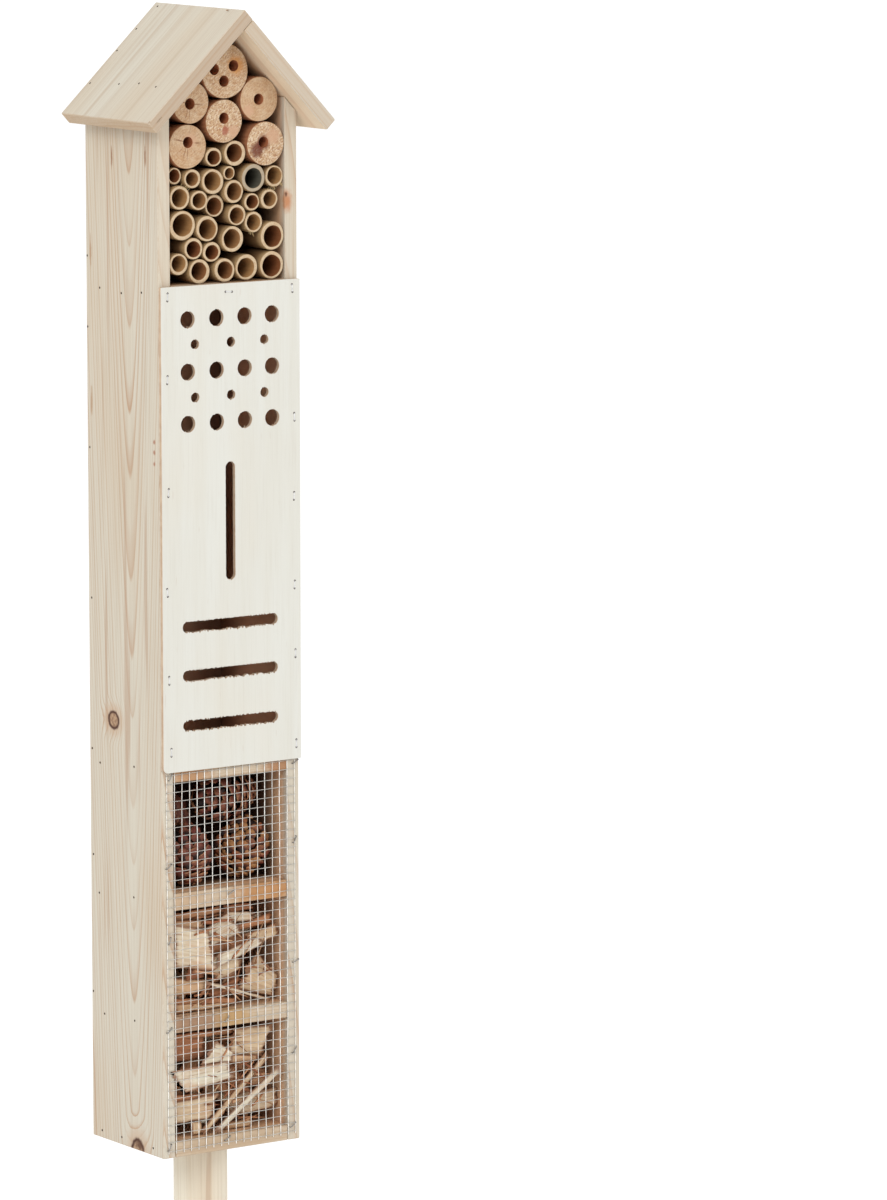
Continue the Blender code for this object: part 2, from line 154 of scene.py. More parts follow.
# Wood chips at the front: the CAD chip's number or 0, depth, thickness, redness, and corners
# (x, height): the first end's lower, the second end's lower and upper, the first end's upper
FRONT_CHIPS = (
    (1, 4.5, 3.5, 0.10, (-46, 137), (-11, 130), (-17, 160), (-46, 168)),
    (2, 8, 3.5, 0.04, (-14, 147), (14, 155), (2, 171), (-18, 160)),
    (0, 10.5, 2, 0.12, (3, 163), (25, 162), (25, 168), (1, 171)),
    (3, 6, 3, 0.06, (-9, 132), (31, 145), (26, 151), (-6, 142)),
    (0, 9, 3, 0.26, (20, 144), (46, 149), (44, 157.5), (18, 153)),
    (0, 13, 2.5, 0.62, (12, 155), (43, 158), (42, 165), (14, 160)),
    (0, 12, 2.2, 0.55, (-45, 167), (0, 171), (0, 175), (-45, 174)),
    (0, 8, 2.2, 0.42, (-45, 164), (-20, 162), (-18, 167), (-45, 170)),
    (0, 8.5, 2.5, 0.85, (-34, 125), (-18, 126), (-19, 136), (-31, 135)),
    (4, 11, 4, 0.26, (12, 113), (41, 105), (47, 119), (28, 138)),
    (5, 11, 3, 0.38, (-45, 114), (-12, 115), (-13, 123), (-45, 128)),
    (0, 9.5, 3, 0.22, (-6, 121), (14, 129), (10, 140), (-14, 140)),
    (0, 6, 1.8, 0.10, (-17, 120.5), (37, 102.3), (37, 104.3), (-17, 123.5)),
    (0, 9.5, 2.2, 0.60, (-45, 107.5), (11, 103.5), (11, 107.5), (-45, 113)),
    (0, 7.5, 2, 0.36, (-45, 103), (2, 102.3), (2, 105), (-45, 109)),
    (0, 13.5, 2, 0.70, (2, 168), (26, 170), (25, 174), (2, 175)),
    (0, 12, 2.5, 0.75, (-10, 108), (16, 112), (14, 121), (-12, 117)),
    (0, 15, 3, 0.62, (-16, 140), (22, 141), (24, 152), (-14, 150)),
    (6, 2.6, 3.2, 0.0, (-40, 45.5), (4, 50.5), (0, 63), (-52.5, 63)),
    (0, 5.5, 2.5, 0.06, (-23, 63.5), (3, 62.5), (4, 69), (-9, 79)),
    (7, 11, 3.5, 0.24, (2, 67), (32, 61.5), (41, 84), (10, 85)),
    (0, 8.5, 1.8, 0.40, (-3, 61.5), (28, 59.5), (28, 63.5), (-1, 67)),
    (8, 7.5, 2.5, 0.26, (-19, 11.8), (36, 60), (33, 64.5), (-22, 14)),
    (9, 4, 3, 0.0, (-9, 11.6), (45, 51), (42, 55), (-14, 14)),
    (0, 9, 3, 0.20, (-45, 22.5), (-12, 22.5), (-6, 39.5), (-45, 38)),
    (0, 10.5, 2, 0.62, (-45, 37), (-9, 36.5), (-9, 40), (-45, 43)),
    (10, 13.5, 3.5, 0.18, (12, 20), (46, 23), (46, 36), (25, 36)),
    (0, 9, 3, 0.28, (-21, 11.8), (-21, 21), (-29, 22), (-29, 11.8)),
    (0, 11, 2.5, 0.34, (0, 11.8), (23, 11.8), (23, 17), (0, 17)),
    (0, 14, 3, 0.75, (-45, 66), (-14, 66), (-14, 82), (-45, 85)),
    (0, 12, 3, 0.50, (22, 41), (36, 42), (37, 50), (24, 50)),
    (0, 13, 2, 0.60, (-45, 81.5), (12, 81), (12, 84.5), (-45, 86)),
)
LEFTMOST_CHIP = 6
LEFTMOST_SLANT = 6.4
CHIP_BOXES = (("lower", 13, 87), ("upper", 103.5, 175))
CHIP_LAYERS = (("front", 15), ("middle", 33), ("back", 56))
CHIPS_PER_LAYER = 26
SPLINTERS = 34

# Stake: the shaved face's length, how much its blunt tip leaves, and how far it bulges
SHAVED_LENGTH = 130 * MM
TIP_WIDTH = 13 * MM
SHAVED_BULGE = 1.4 * MM


def at(x, depth, height):
    """A point in millimetres: across, behind the walls' front, above the house's underside."""
    return in_plane(x, FRONT + depth * MM, height)


def in_plane(x, y, height):
    """A point across and above the underside in millimetres, in the plane y, which is in metres."""
    return Vector((x * MM, y, height * MM + UNDERSIDE))


def spoke(angle):
    """A unit vector that turns from X towards Z."""
    return Vector((math.cos(angle), 0, math.sin(angle)))


def lit(red, green, blue, share=ALBEDO):
    """The surface colour that looks like this 8-bit colour under the studio light."""
    channels = [channel / 255 for channel in (red, green, blue)]
    linear = [c / 12.92 if c < 0.04 else ((c + 0.055) / 1.055) ** 2.4 for c in channels]
    return (*(share * value for value in linear), 1.0)


def grey(value):
    return (value, value, value, 1.0)


class Value:
    """A node's output. Arithmetic on it adds the nodes that work it out."""

    def __init__(self, shader, socket):
        self.shader = shader
        self.socket = socket

    def __add__(self, other):
        return self.shader.math("ADD", self, other)

    def __sub__(self, other):
        return self.shader.math("SUBTRACT", self, other)

    def __rsub__(self, other):
        return self.shader.math("SUBTRACT", other, self)

    def __mul__(self, other):
        return self.shader.math("MULTIPLY", self, other)

    def __truediv__(self, other):
        return self.shader.math("DIVIDE", self, other)

    def __abs__(self):
        return self.shader.math("ABSOLUTE", self)


class Shader:
    """A Principled material, with short calls that build its node tree.

    Where a call takes a colour, three numbers are an 8-bit one, as seen under the studio light.
    """

    def __init__(self, name, specular=0.3, metallic=0.0):
        self.material = bpy.data.materials.new(name)
        self.material.use_nodes = True
        self.tree = self.material.node_tree
        self.surface = self.tree.nodes["Principled BSDF"].inputs
        self.surface["Specular IOR Level"].default_value = specular
        self.surface["Metallic"].default_value = metallic
        self.point = self.new("TexCoord", "Object")
        self.normal = self.new("TexCoord", "Normal")

    def new(self, kind, output=0, inputs=None, **settings):
        """Adds a node and gives one of its outputs."""
        node = self.tree.nodes.new("ShaderNode" + kind)
        for key, value in settings.items():
            setattr(node, key, value)
        for key, value in (inputs or {}).items():
            self.wire(node.inputs[key], value)
        return Value(self, node.outputs[output])

    def wire(self, socket, value):
        if isinstance(value, Value):
            self.tree.links.new(value.socket, socket)
        else:
            socket.default_value = value

    def math(self, operation, *values):
        """Works on vectors where the first value is one, and otherwise on numbers."""
        on_vectors = isinstance(values[0], Value) and values[0].socket.type == "VECTOR"
        kind = "VectorMath" if on_vectors else "Math"
        return self.new(kind, 0, dict(enumerate(values)), operation=operation)

    def highest(self, a, b):
        return self.math("MAXIMUM", a, b)

    def dot(self, a, b):
        return self.new("VectorMath", "Value", {0: a, 1: b}, operation="DOT_PRODUCT")

    def length(self, a):
        return self.new("VectorMath", "Value", {0: a}, operation="LENGTH")

    def split(self, vector):
        node = self.new("SeparateXYZ", 0, {0: vector}).socket.node
        return [Value(self, socket) for socket in node.outputs]

    def join(self, x, y, z):
        return self.new("CombineXYZ", 0, {0: x, 1: y, 2: z})

    def noise(self, vector, scale, detail=2.0, roughness=0.5):
        inputs = {"Vector": vector, "Scale": scale, "Detail": detail, "Roughness": roughness}
        return self.new("TexNoise", 0, inputs)

    def streaks(self, vector, fineness, detail):
        """Noise that is finer along some axes than along others."""
        return self.noise(vector * fineness, 1.0, detail)

    def waver(self, vector, scale, detail, amount):
        """Noise about zero."""
        return (self.noise(vector, scale, detail) - 0.5) * amount

    def rise(self, value, low, high, top=1.0, bottom=0.0):
        """Climbs smoothly from the bottom at the low value to the top at the high one."""
        inputs = {"Value": value, "From Min": low, "From Max": high, "To Min": bottom, "To Max": top}
        return self.new("MapRange", 0, inputs, interpolation_type="SMOOTHSTEP")

    def fall(self, value, low, high, top=1.0):
        """Drops smoothly from the top at the low value to 0 at the high one."""
        return self.rise(value, low, high, 0.0, top)

    def mix(self, factor, a, b, blend="MIX"):
        a, b = (lit(*c) if isinstance(c, tuple) and len(c) == 3 else c for c in (a, b))
        return self.new("Mix", 2, {0: factor, 6: a, 7: b}, data_type="RGBA", blend_type=blend)

    def ramp(self, value, *stops):
        made = self.new("ValToRGB", 0, {0: value})
        elements = made.socket.node.color_ramp.elements
        while len(elements) < len(stops):
            elements.new(0.5)
        for element, (place, colour) in zip(elements, stops):
            element.position = place
            element.color = colour
        return made

    def span(self, centre, radii):
        """Distance from a point, in radii (mm along X, Y and Z)."""
        return self.length((self.point - centre) / [radius * MM for radius in radii])

    def attribute(self, name, output="Fac"):
        return self.new("Attribute", output, attribute_name=name)

    def finish(self, colour, roughness, height, relief):
        """Wires colour, roughness and bump; relief is the bump's height in millimetres."""
        bump = self.new("Bump", 0, {"Height": height, "Distance": relief * MM, "Strength": 1.0})
        for name, value in (("Base Color", colour), ("Roughness", roughness), ("Normal", bump)):
            self.wire(self.surface[name], value)
        return self.material


def timber(name, grain, across, pith, ring, extent=None, climb=0.0, pale=(234, 226, 208),
           late=(204, 164, 130), contrast=0.8, wave=2.0, knots=(), stains=(), below_only=False,
           front=0.15, share=ALBEDO):
    """Sawn softwood: growth rings round a pith that lies along the grain, cut by the board's faces.

    pith is (across, through) in mm. climb is how many mm the rings shift for each mm along, which
    makes them meet in V shapes. extent is the board's (lowest, highest) along, across and through,
    for its worn edges. knots and stains are (point, radii along X, Y and Z in mm), and a stain's
    colour. front is how much browner the faces that look to the front are.
    """
    s = Shader(name, specular=0.22)
    along, aside, inward = (s.dot(s.point, axis) for axis in (grain, across, grain.cross(across)))
    board = s.join(along, aside, inward)
    offset = sum(ord(letter) for letter in name) * 0.37
    reach = s.length(s.join(aside - pith[0] * MM, inward - pith[1] * MM, 0.0)) - along * climb
    reach = reach + s.waver(s.join(along * 0.11 + offset, aside, inward), 24, 1.5, 2 * wave * MM)
    core, rim, halo = 0.0, 0.0, 0.0
    for centre, radii in knots:
        span = s.span(centre, radii) + s.waver(s.point, 300, 2, 0.25)
        reach = reach + s.fall(span, 0.5, 3.2, top=2.2 * ring * MM)
        core = s.highest(core, s.fall(span, 0.7, 0.95))
        rim = s.highest(rim, s.rise(span, 0.62, 0.85) * s.fall(span, 0.9, 1.2))
        halo = s.highest(halo, s.fall(span, 1.0, 2.4, top=0.4))

    years = reach / (ring * MM)
    years = years + s.noise(s.join(years * 0.45, offset, 0.0), 1.0) * 2.2
    vigour = s.new("TexWhiteNoise", "Value", {"W": s.math("FLOOR", years)}, noise_dimensions="1D")
    band = s.ramp(s.math("FRACT", years), (0.0, grey(0)), (0.56, grey(0.06)), (0.82, grey(0.55)),
                  (0.93, grey(1)), (1.0, grey(0)))
    band = band * (vigour * 0.7 + 0.3)
    fibre = s.streaks(board, (9, 800, 800), 3)
    cloud = s.streaks(board, (5, 26, 26), 2)
    streak = s.streaks(board, (5, 150, 150), 1)

    colour = s.mix(s.rise(cloud, 0.35, 0.7, top=0.6), lit(*pale, share), lit(228, 210, 184, share))
    colour = s.mix(s.rise(s.dot(s.normal, -Y_AXIS), 0.6, 0.9, top=front), colour, (196, 170, 144))
    colour = s.mix(band * contrast, colour, lit(*late, share))
    colour = s.mix(s.rise(fibre, 0.4, 0.75, top=0.2), colour, (184, 154, 124))
    colour = s.mix(s.rise(streak, 0.64, 0.76, top=0.5), colour, (198, 162, 132))
    sawn = s.rise(abs(s.dot(s.normal, grain)), 0.5, 0.9)
    saw_marks = s.noise(s.point, 1300, 3)
    colour = s.mix(sawn * (saw_marks * 0.6 + 0.28), colour, (206, 168, 126))
    if knots:
        rings = s.rise(s.streaks(board, (380, 420, 420), 2), 0.35, 0.65)
        colour = s.mix(halo, colour, (210, 160, 116))
        colour = s.mix(core * 0.8, colour, s.mix(rings, (196, 158, 120), (142, 98, 66)))
        colour = s.mix(rim, colour, (88, 52, 36))
    for centre, radii, tint in stains:
        span = s.span(centre, radii) + s.waver(s.point, 240, 3, 0.9)
        colour = s.mix(s.fall(span, 0.3, 1.2, top=0.85), colour, tint)
    height = band * -0.35 + fibre * 0.6
    # Boards with an extent get worn edges, and inside the house painted light and shade.
    if extent:
        worn = worn_edges(s, (along, aside, inward), extent)
        colour = s.mix(worn * 0.35, colour, (206, 172, 138))
        height = height - worn * 0.8
        # Painted light: on the roof boards, faces that look down are lightened and warmed, and only they get
        # the hollow's painted light and shade.
        if below_only:
            painted_underside_light = underneath(s) * (1.0 - sawn) * s.fall(abs(s.dot(s.normal, Y_AXIS)), 0.1, 0.4)
            colour = s.mix(painted_underside_light, colour, (1.36, 1.25, 1.14, 1.0), "MULTIPLY")
        colour = hollow_painted_shade(s, colour, below_only)
    return s, colour, fibre * 0.22 + 0.52, height + sawn * saw_marks * 1.2


def worn_edges(s, places, extent):
    """Where two of a board's faces meet, with gaps here and there."""
    near = []
    for place, (low, high) in zip(places, extent):
        near.append(s.fall(s.math("MINIMUM", place - low, high - place), 0.0, 1.1 * MM))
    worn = s.highest(s.highest(near[0] * near[1], near[1] * near[2]), near[0] * near[2])
    return worn * s.rise(s.noise(s.point, 240, 3), 0.4, 0.66)


def underneath(s):
    """Faces that look down."""
    return s.fall(s.split(s.normal)[2], -0.4, -0.1)


def hollow_painted_shade(s, colour, below_only=False):
    """Wood inside the house, painted with light and shade: a warm glow near the opening, shade that browns
    and darkens it with depth, darker by the cones, and behind the panel a lighter tone shaded towards the
    back right corner.
    """
    x, y, z = s.split(s.point)
    within = s.fall(abs(x), INNER + 0.1 * MM, INNER + 0.4 * MM)
    within = within * s.fall(y, BACK - 9.5 * MM, BACK - 8.5 * MM)
    within = within * s.rise(z, UNDERSIDE + 1 * MM, UNDERSIDE + 3 * MM)
    if below_only:
        within = within * underneath(s)
    # Painted light: a warm glow on the inner faces near the opening.
    painted_glow = s.rise(y, FRONT + 0.5 * MM, FRONT + 9 * MM, top=0.8)
    colour = s.mix(within * painted_glow, colour, lit(236, 184, 138, share=0.8))
    # Painted shade: brown that darkens with depth behind the opening, darker by the cones.
    by_cones = s.rise(z, CHIPS_TOP, CHIPS_TOP + 1 * MM)
    painted_depth_shade = s.mix(by_cones, lit(196, 142, 106, share=0.8), (74, 38, 24))
    colour = s.mix(within * s.rise(y, FRONT + 4 * MM, FRONT + 34 * MM, top=0.95), colour, painted_depth_shade)
    # Behind the panel: a lighter painted tone, with painted shade towards the back right corner.
    low, high = PANEL_SPACE
    closed = s.rise(z, low - 1 * MM, low) * s.fall(z, high, high + 1 * MM)
    closed = closed * s.rise(y, FRONT + 0.1 * MM, FRONT + 1 * MM)
    corner = s.length(s.join(x - INNER, y - BACK, 0.0))
    painted_corner_shade = s.mix(s.fall(corner, 12 * MM, 46 * MM, top=0.8), lit(244, 200, 168, share=0.95), (140, 90, 66))
    return s.mix(within * closed, colour, painted_corner_shade)


def bark_streak(s, colour, centre, half_width, half_length):
    """A frayed strip of red-brown bark left on a shaved face, lengthwise along Z."""
    away = s.point - centre
    x, y, z = s.split(away)
    span = s.length(s.join(y / half_width, z / half_length, 0.0))
    fray = s.streaks(away, (0, 900, 60), 3) * 1.1
    strip = s.fall(span + fray, 1.15, 1.5, top=0.95) * s.fall(x, 8 * MM, 12 * MM)
    flecks = s.mix(s.streaks(away, (0, 1400, 300), 2), (172, 92, 56), (110, 50, 32))
    return s.mix(strip, colour, flecks)


def plywood():
    """Pale birch veneer with upright grain; cuts show the darker middle ply and router burns."""
    s = Shader("birch_plywood", specular=0.25)
    figure = s.streaks(s.point, (70, 0, 4), 3)
    fibre = s.streaks(s.point, (900, 0, 24), 3)
    cloud = s.streaks(s.point, (14, 0, 7), 2)
    fleck = s.streaks(s.point, (420, 0, 60), 1)
    colour = s.mix(s.rise(figure, 0.38, 0.66, top=0.5), (240, 239, 230), (234, 230, 217))
    colour = s.mix(s.rise(cloud, 0.45, 0.7, top=0.35), colour, (238, 230, 213))
    colour = s.mix(s.rise(fibre, 0.45, 0.75, top=0.12), colour, (196, 184, 164))
    colour = s.mix(s.rise(fleck, 0.7, 0.8, top=0.25), colour, (208, 186, 164))
    middle_ply = s.fall(abs(s.split(s.point)[1] - (FRONT - 1.8 * MM)), 0.45 * MM, 0.6 * MM)
    burn = s.rise(s.noise(s.point, 160, 2), 0.3, 0.7, top=0.25)
    edge = s.mix(burn, s.mix(middle_ply, (236, 214, 188), (214, 180, 146)), (160, 112, 84))
    colour = s.mix(s.fall(abs(s.dot(s.normal, Y_AXIS)), 0.3, 0.7), colour, edge)
    return s.finish(colour, fibre * 0.2 + 0.46, fibre * 0.6 + figure * 0.4, 0.05)


def log_end(name, pith, ring, coarse, checks, stains):
    """A sawn and drilled log: rings on its ends, bare long-grained wood round its side, which darkens with
    depth behind the front as painted shade.

    coarse is how torn the sawn end is, and checks how strongly it is split from the middle.
    """
    s = Shader(name, specular=0.2)
    x, y, z = s.split(s.point)
    flat = s.join(x, 0.0, z)
    away = flat - (pith[0] * MM, 0, pith[1] * MM)
    years = (s.length(away) + s.waver(flat, 110, 2, 1.6 * MM)) / (ring * MM)
    band = s.ramp(s.math("FRACT", years), (0.0, grey(0)), (0.5, grey(0.15)), (0.88, grey(1)), (1.0, grey(0)))
    pores = s.noise(flat, 760, 2, 0.6)
    scrape = s.streaks(s.join(x + z * 0.7, 0.0, z - x * 0.7), (260, 0, 800), 2)
    colour = s.mix(s.rise(s.noise(flat, 95, 2), 0.35, 0.65), (226, 194, 156), (212, 172, 130))
    colour = s.mix(band * (0.4 - 0.2 * coarse), colour, (186, 134, 98))
    colour = s.mix(s.rise(scrape, 0.47, 0.6, top=0.2 + 0.6 * coarse), colour, (248, 226, 196))
    colour = s.mix(s.fall(pores, 0.36, 0.5, top=0.2 + 0.55 * coarse), colour, (158, 102, 70))
    split = s.rise(s.noise(s.math("NORMALIZE", away), 5.5, 1), 0.6, 0.66)
    colour = s.mix(split * s.fall(s.length(away), 6 * MM, 14 * MM, top=checks), colour, (140, 96, 66))
    for stain_x, stain_z, radius, tint in stains:
        near = s.length(flat - (stain_x * MM, 0, stain_z * MM)) + s.waver(flat, 260, 3, 4.5 * MM)
        colour = s.mix(s.fall(near, 0.4 * radius * MM, radius * MM, top=0.85), colour, tint)
    turned = s.fall(abs(s.dot(s.normal, Y_AXIS)), 0.35, 0.75)
    grain = s.streaks(s.point, (500, 16, 500), 3)
    side = s.mix(grain, (210, 148, 104), (150, 88, 58))
    # Painted shade: the log's side darkens with depth behind the front, where its neighbours shade it.
    side = s.mix(s.rise(y, 0.5 * MM, 22 * MM, top=0.9), side, (70, 34, 22))
    colour = s.mix(turned, colour, side)
    height = pores * (0.4 + coarse) + scrape * (0.3 + coarse)
    return s.finish(colour, pores * 0.2 + 0.6, height * (1.0 - turned) + turned * grain, 0.16)


def bore_wood():
    """Red-brown wall of a drilled hole, with the drill's fine rings, darkened deeper in as painted shade."""
    s = Shader("drilled_hole", specular=0.25)
    rings = s.streaks(s.point, (40, 1500, 40), 2)
    colour = s.mix(rings, (226, 150, 104), (176, 98, 62))
    colour = s.mix(s.rise(s.noise(s.point, 170, 2), 0.45, 0.7, top=0.5), colour, (130, 62, 40))
    # Painted shade deeper in the hole.
    colour = s.mix(s.rise(s.split(s.point)[1], 3 * MM, 20 * MM, top=0.6), colour, (116, 52, 34))
    return s.finish(colour, rings * 0.2 + 0.55, rings, 0.15)


def bamboo():
    """Cut bamboo: glossy skin, a pale rim dotted with fibres, and a papery brown inner wall; skin and inner
    wall darken with depth behind the rim as painted shade.

    The tone attribute runs from 0, fresh, to 1, browned; 2 is weathered grey.
    """
    s = Shader("bamboo", specular=0.35)
    x, y, z = s.split(s.point)
    tone = s.attribute("tone")
    weathered = s.rise(tone, 1.3, 1.8)
    flat = s.join(x, 0.0, z)
    outwards = s.math("NORMALIZE", flat)
    streaks = s.streaks(outwards + s.join(0.0, y, 0.0), (30, 26, 30), 3)
    scatter = {"Vector": flat + s.join(tone, 0.0, tone), "Scale": 1250}
    dots = s.fall(s.new("TexVoronoi", "Distance", scatter), 0.12, 0.5)
    facing = s.dot(s.normal, -Y_AXIS)
    rim = s.rise(facing, 0.3, 0.75)
    inside = s.fall(s.dot(s.normal, outwards), -0.5, 0.0)
    skin = s.mix(streaks, (216, 186, 140), (176, 136, 90))
    # Painted shade: the skin browns and darkens with depth behind the front, between the tubes.
    skin = s.mix(s.rise(y, 0.4 * MM, 9 * MM, top=0.8), skin, (112, 76, 46))
    skin = s.mix(s.rise(y, 6 * MM, 30 * MM, top=0.92), skin, (54, 30, 18))
    fresh = s.mix(streaks, (222, 178, 120), (170, 116, 66))
    brown = s.mix(streaks, (176, 112, 66), (120, 66, 36))
    lining = s.mix(s.fall(tone, 0.0, 1.0), brown, fresh)
    lining = s.mix(weathered, lining, s.mix(streaks, (124, 120, 104), (72, 68, 58)))
    # Painted shade inside the bore, darkening with depth; grey-black in a weathered tube.
    depth_shade = s.mix(weathered, (98, 48, 22), (44, 42, 38))
    lining = s.mix(s.rise(y, 1 * MM, 30 * MM, top=0.85), lining, depth_shade)
    cut = s.mix(dots * 0.5, (226, 200, 164), (172, 130, 90))
    cut = s.mix(s.rise(s.noise(flat, 300, 2), 0.4, 0.7, top=0.35), cut, (200, 160, 116))
    cut = s.mix(weathered * 0.6, cut, (168, 158, 140))
    cut = s.mix(s.fall(abs(facing), 0.75, 0.97, top=0.5), cut, (184, 146, 104))
    colour = s.mix(rim, s.mix(inside, skin, lining), cut)
    rough = s.highest(rim, inside) * 0.25 + 0.38
    return s.finish(colour, rough, streaks * 0.5 + dots * rim * 0.6, 0.08)


def speckled(name, pale, dark, scale=900, rough=0.6, specular=0.2):
    """Small things in two tones of one colour, such as loose fibres."""
    s = Shader(name, specular)
    speck = s.noise(s.point, scale, 2)
    return s.finish(s.mix(speck, pale, dark), speck * 0.2 + rough, speck, 0.05)


def galvanised(name, tone, rough):
    """Zinc-coated wire, with dull patches."""
    s = Shader(name, specular=0.5, metallic=1.0)
    patch = s.noise(s.point, 260, 3)
    spot = s.noise(s.point, 1500, 2)
    dull = [channel * 0.86 for channel in tone]
    colour = s.mix(s.rise(patch, 0.35, 0.7), lit(*tone, share=1.0), lit(*dull, share=1.0))
    colour = s.mix(s.rise(spot, 0.6, 0.75, top=0.3), colour, (150, 152, 156))
    return s.finish(colour, patch * 0.25 + rough, spot, 0.03)


def cone_scales(name, tip):
    """Woody scales, almost black in the cone, partly their own colour and partly painted shade between them,
    and bright at their tips; some are redder.
    """
    s = Shader(name, specular=0.3)
    reach = s.attribute("reach")
    speck = s.noise(s.point, 900, 3)
    redder = tuple(channel * share for channel, share in zip(tip, (0.86, 0.6, 0.62)))
    own = s.mix(s.rise(s.attribute("tone"), 0.35, 0.9), tip, redder)
    own = s.mix(s.rise(s.noise(s.point, 70, 2), 0.48, 0.62, top=0.75), own, (126, 62, 48))
    # Scales darken towards their hidden bases: partly their own colour, partly painted shade between the
    # scales.
    body = s.mix(s.rise(reach, 0.2, 0.55), (36, 19, 15), (104, 54, 38))
    colour = s.mix(s.rise(reach, 0.42, 0.72), body, own)
    colour = s.mix(s.rise(reach, 0.9, 1.0, top=0.4), colour, (222, 168, 116))
    colour = s.mix(s.rise(speck, 0.48, 0.7, top=0.5), colour, (84, 42, 28))
    return s.finish(colour, speck * 0.25 + 0.5, speck, 0.25)


def split_wood():
    """Split chips: long torn grain, from cream sapwood to red-brown heartwood, darkened deep inside as
    painted shade.
    """
    s = Shader("split_wood", specular=0.2)
    grain = s.attribute("grain", "Vector")
    redness = s.attribute("redness")
    lines = s.streaks(grain, (26, 420, 300), 3)
    tears = s.streaks(grain, (60, 1100, 800), 2)
    cloud = s.streaks(grain, (40, 90, 40), 2)
    base = s.ramp(redness, (0.0, lit(250, 240, 216)), (0.3, lit(242, 208, 166)),
                  (0.6, lit(216, 150, 106)), (1.0, lit(146, 76, 52)))
    darker = s.mix(redness, (206, 158, 114), (84, 40, 26))
    colour = s.mix(s.rise(lines, 0.42, 0.66) * (redness * 0.5 + 0.32), base, darker)
    colour = s.mix(s.rise(cloud, 0.5, 0.72, top=0.45), colour, (222, 164, 118))
    colour = s.mix(s.rise(tears, 0.58, 0.74, top=0.55), colour, (140, 84, 54))
    fringe = s.attribute("rim") + tears * 0.8
    colour = s.mix(s.rise(fringe, 0.6, 1.25, top=0.8), colour, (142, 84, 50))
    # Painted shade: chips darken with depth behind the front.
    depth_shade = s.rise(s.split(s.point)[1], FRONT + 12 * MM, FRONT + 40 * MM, top=0.85)
    colour = s.mix(depth_shade, colour, (116, 68, 44))
    return s.finish(colour, tears * 0.2 + 0.62, lines * 0.7 + tears * 0.5, 0.3)


def link(obj, nodes):
    """Makes an object a piece that rides on the hotel and stands for the CAD nodes."""
    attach(obj, "root")
    if nodes:
        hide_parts(*nodes)
    return obj


def piece(name, mesh, materials, nodes=(), place=(0, 0, 0), turn=(0, 0, 0)):
    obj = helper(name, mesh)
    obj.location = place
    obj.rotation_euler = turn
    for material in materials:
        mesh.materials.append(material)
    return link(obj, nodes)


def helper(name, data):
    obj = bpy.data.objects.new(name, data)
    bpy.context.scene.collection.objects.link(obj)
    return obj


def smooth(mesh, sharp):
    """Shades a mesh smooth, but for edges above an angle in degrees."""
    mesh.shade_smooth()
    mesh.set_sharp_from_angle(angle=math.radians(sharp))


def mesh_of(bm, name, sharp=40):
    """Closes off a bmesh as a mesh whose edges stay sharp above an angle in degrees."""
    bmesh.ops.recalc_face_normals(bm, faces=bm.faces)
    mesh = bpy.data.meshes.new(name)
    bm.to_mesh(mesh)
    bm.free()
    smooth(mesh, sharp)
    return mesh


def applied(obj, name):
    """The mesh that a helper object's modifiers or curve make; the helper is removed."""
    bpy.context.view_layer.update()
    graph = bpy.context.evaluated_depsgraph_get()
    mesh = bpy.data.meshes.new_from_object(obj.evaluated_get(graph), depsgraph=graph)
    mesh.name = name
    mesh.materials.clear()
    bpy.data.objects.remove(obj, do_unlink=True)
    return mesh


def carved(body, tools, name):
    """The mesh of a helper with other helpers cut out of it; they are all removed."""
    for tool in tools:
        body.modifiers.new("cut", "BOOLEAN").object = tool
    mesh = applied(body, name)
    for tool in tools:
        bpy.data.objects.remove(tool, do_unlink=True)
    return mesh


def unite(mesh):
    """A bmesh of a mesh, with the vertices that share a place made one."""
    bm = bmesh.new()
    bm.from_mesh(mesh)
    bmesh.ops.remove_doubles(bm, verts=bm.verts, dist=1e-6)
    return bm


def bridge(bm, near, far):
    """Faces between two rings of vertices."""
    for k in range(len(near)):
        after = (k + 1) % len(near)
        bm.faces.new((near[k], near[after], far[after], far[k]))


def close(bm, rings):
    """Faces over rings of vertices, with the first and the last one filled."""
    for near, far in zip(rings, rings[1:]):
        bridge(bm, near, far)
    bm.faces.new(rings[0])
    bm.faces.new(rings[-1])


def slab(bm, sides, stations, spread, vertex):
    """Faces over two matching grids of vertices, and round their rim.

    vertex(side, u, v) makes the vertex at u and v, which run from 0 to 1.
    """
    rims = []
    for side in sides:
        rows = [[vertex(side, i / stations, j / spread) for j in range(spread + 1)]
                for i in range(stations + 1)]
        rims.append(rows[0] + [row[-1] for row in rows[1:]] + rows[-1][-2::-1]
                    + [row[0] for row in rows[-2:0:-1]])
        for near, far in zip(rows, rows[1:]):
            for j in range(spread):
                bm.faces.new((near[j], near[j + 1], far[j + 1], far[j]))
    bridge(bm, *rims)


def turns(sides):
    """Angles once round."""
    return [2 * math.pi * step / sides for step in range(sides)]


def revolve(profile, sides, wobble=None):
    """A closed body about Y through rings of (place along Y, radius), both in metres."""
    bm = bmesh.new()
    rings = []
    for index, (place, radius) in enumerate(profile):
        ring = []
        for angle in turns(sides):
            spot = Vector((radius * math.cos(angle), place, radius * math.sin(angle)))
            ring.append(bm.verts.new(wobble(index, angle, spot) if wobble else spot))
        rings.append(ring)
    close(bm, rings)
    return bm


def thread(curve, paths, cyclic=False):
    """Adds a polyline to a curve for each path of points."""
    for path in paths:
        spline = curve.splines.new("POLY")
        spline.use_cyclic_u = cyclic
        spline.points.add(len(path) - 1)
        for point, place in zip(spline.points, path):
            point.co = (*place, 1)


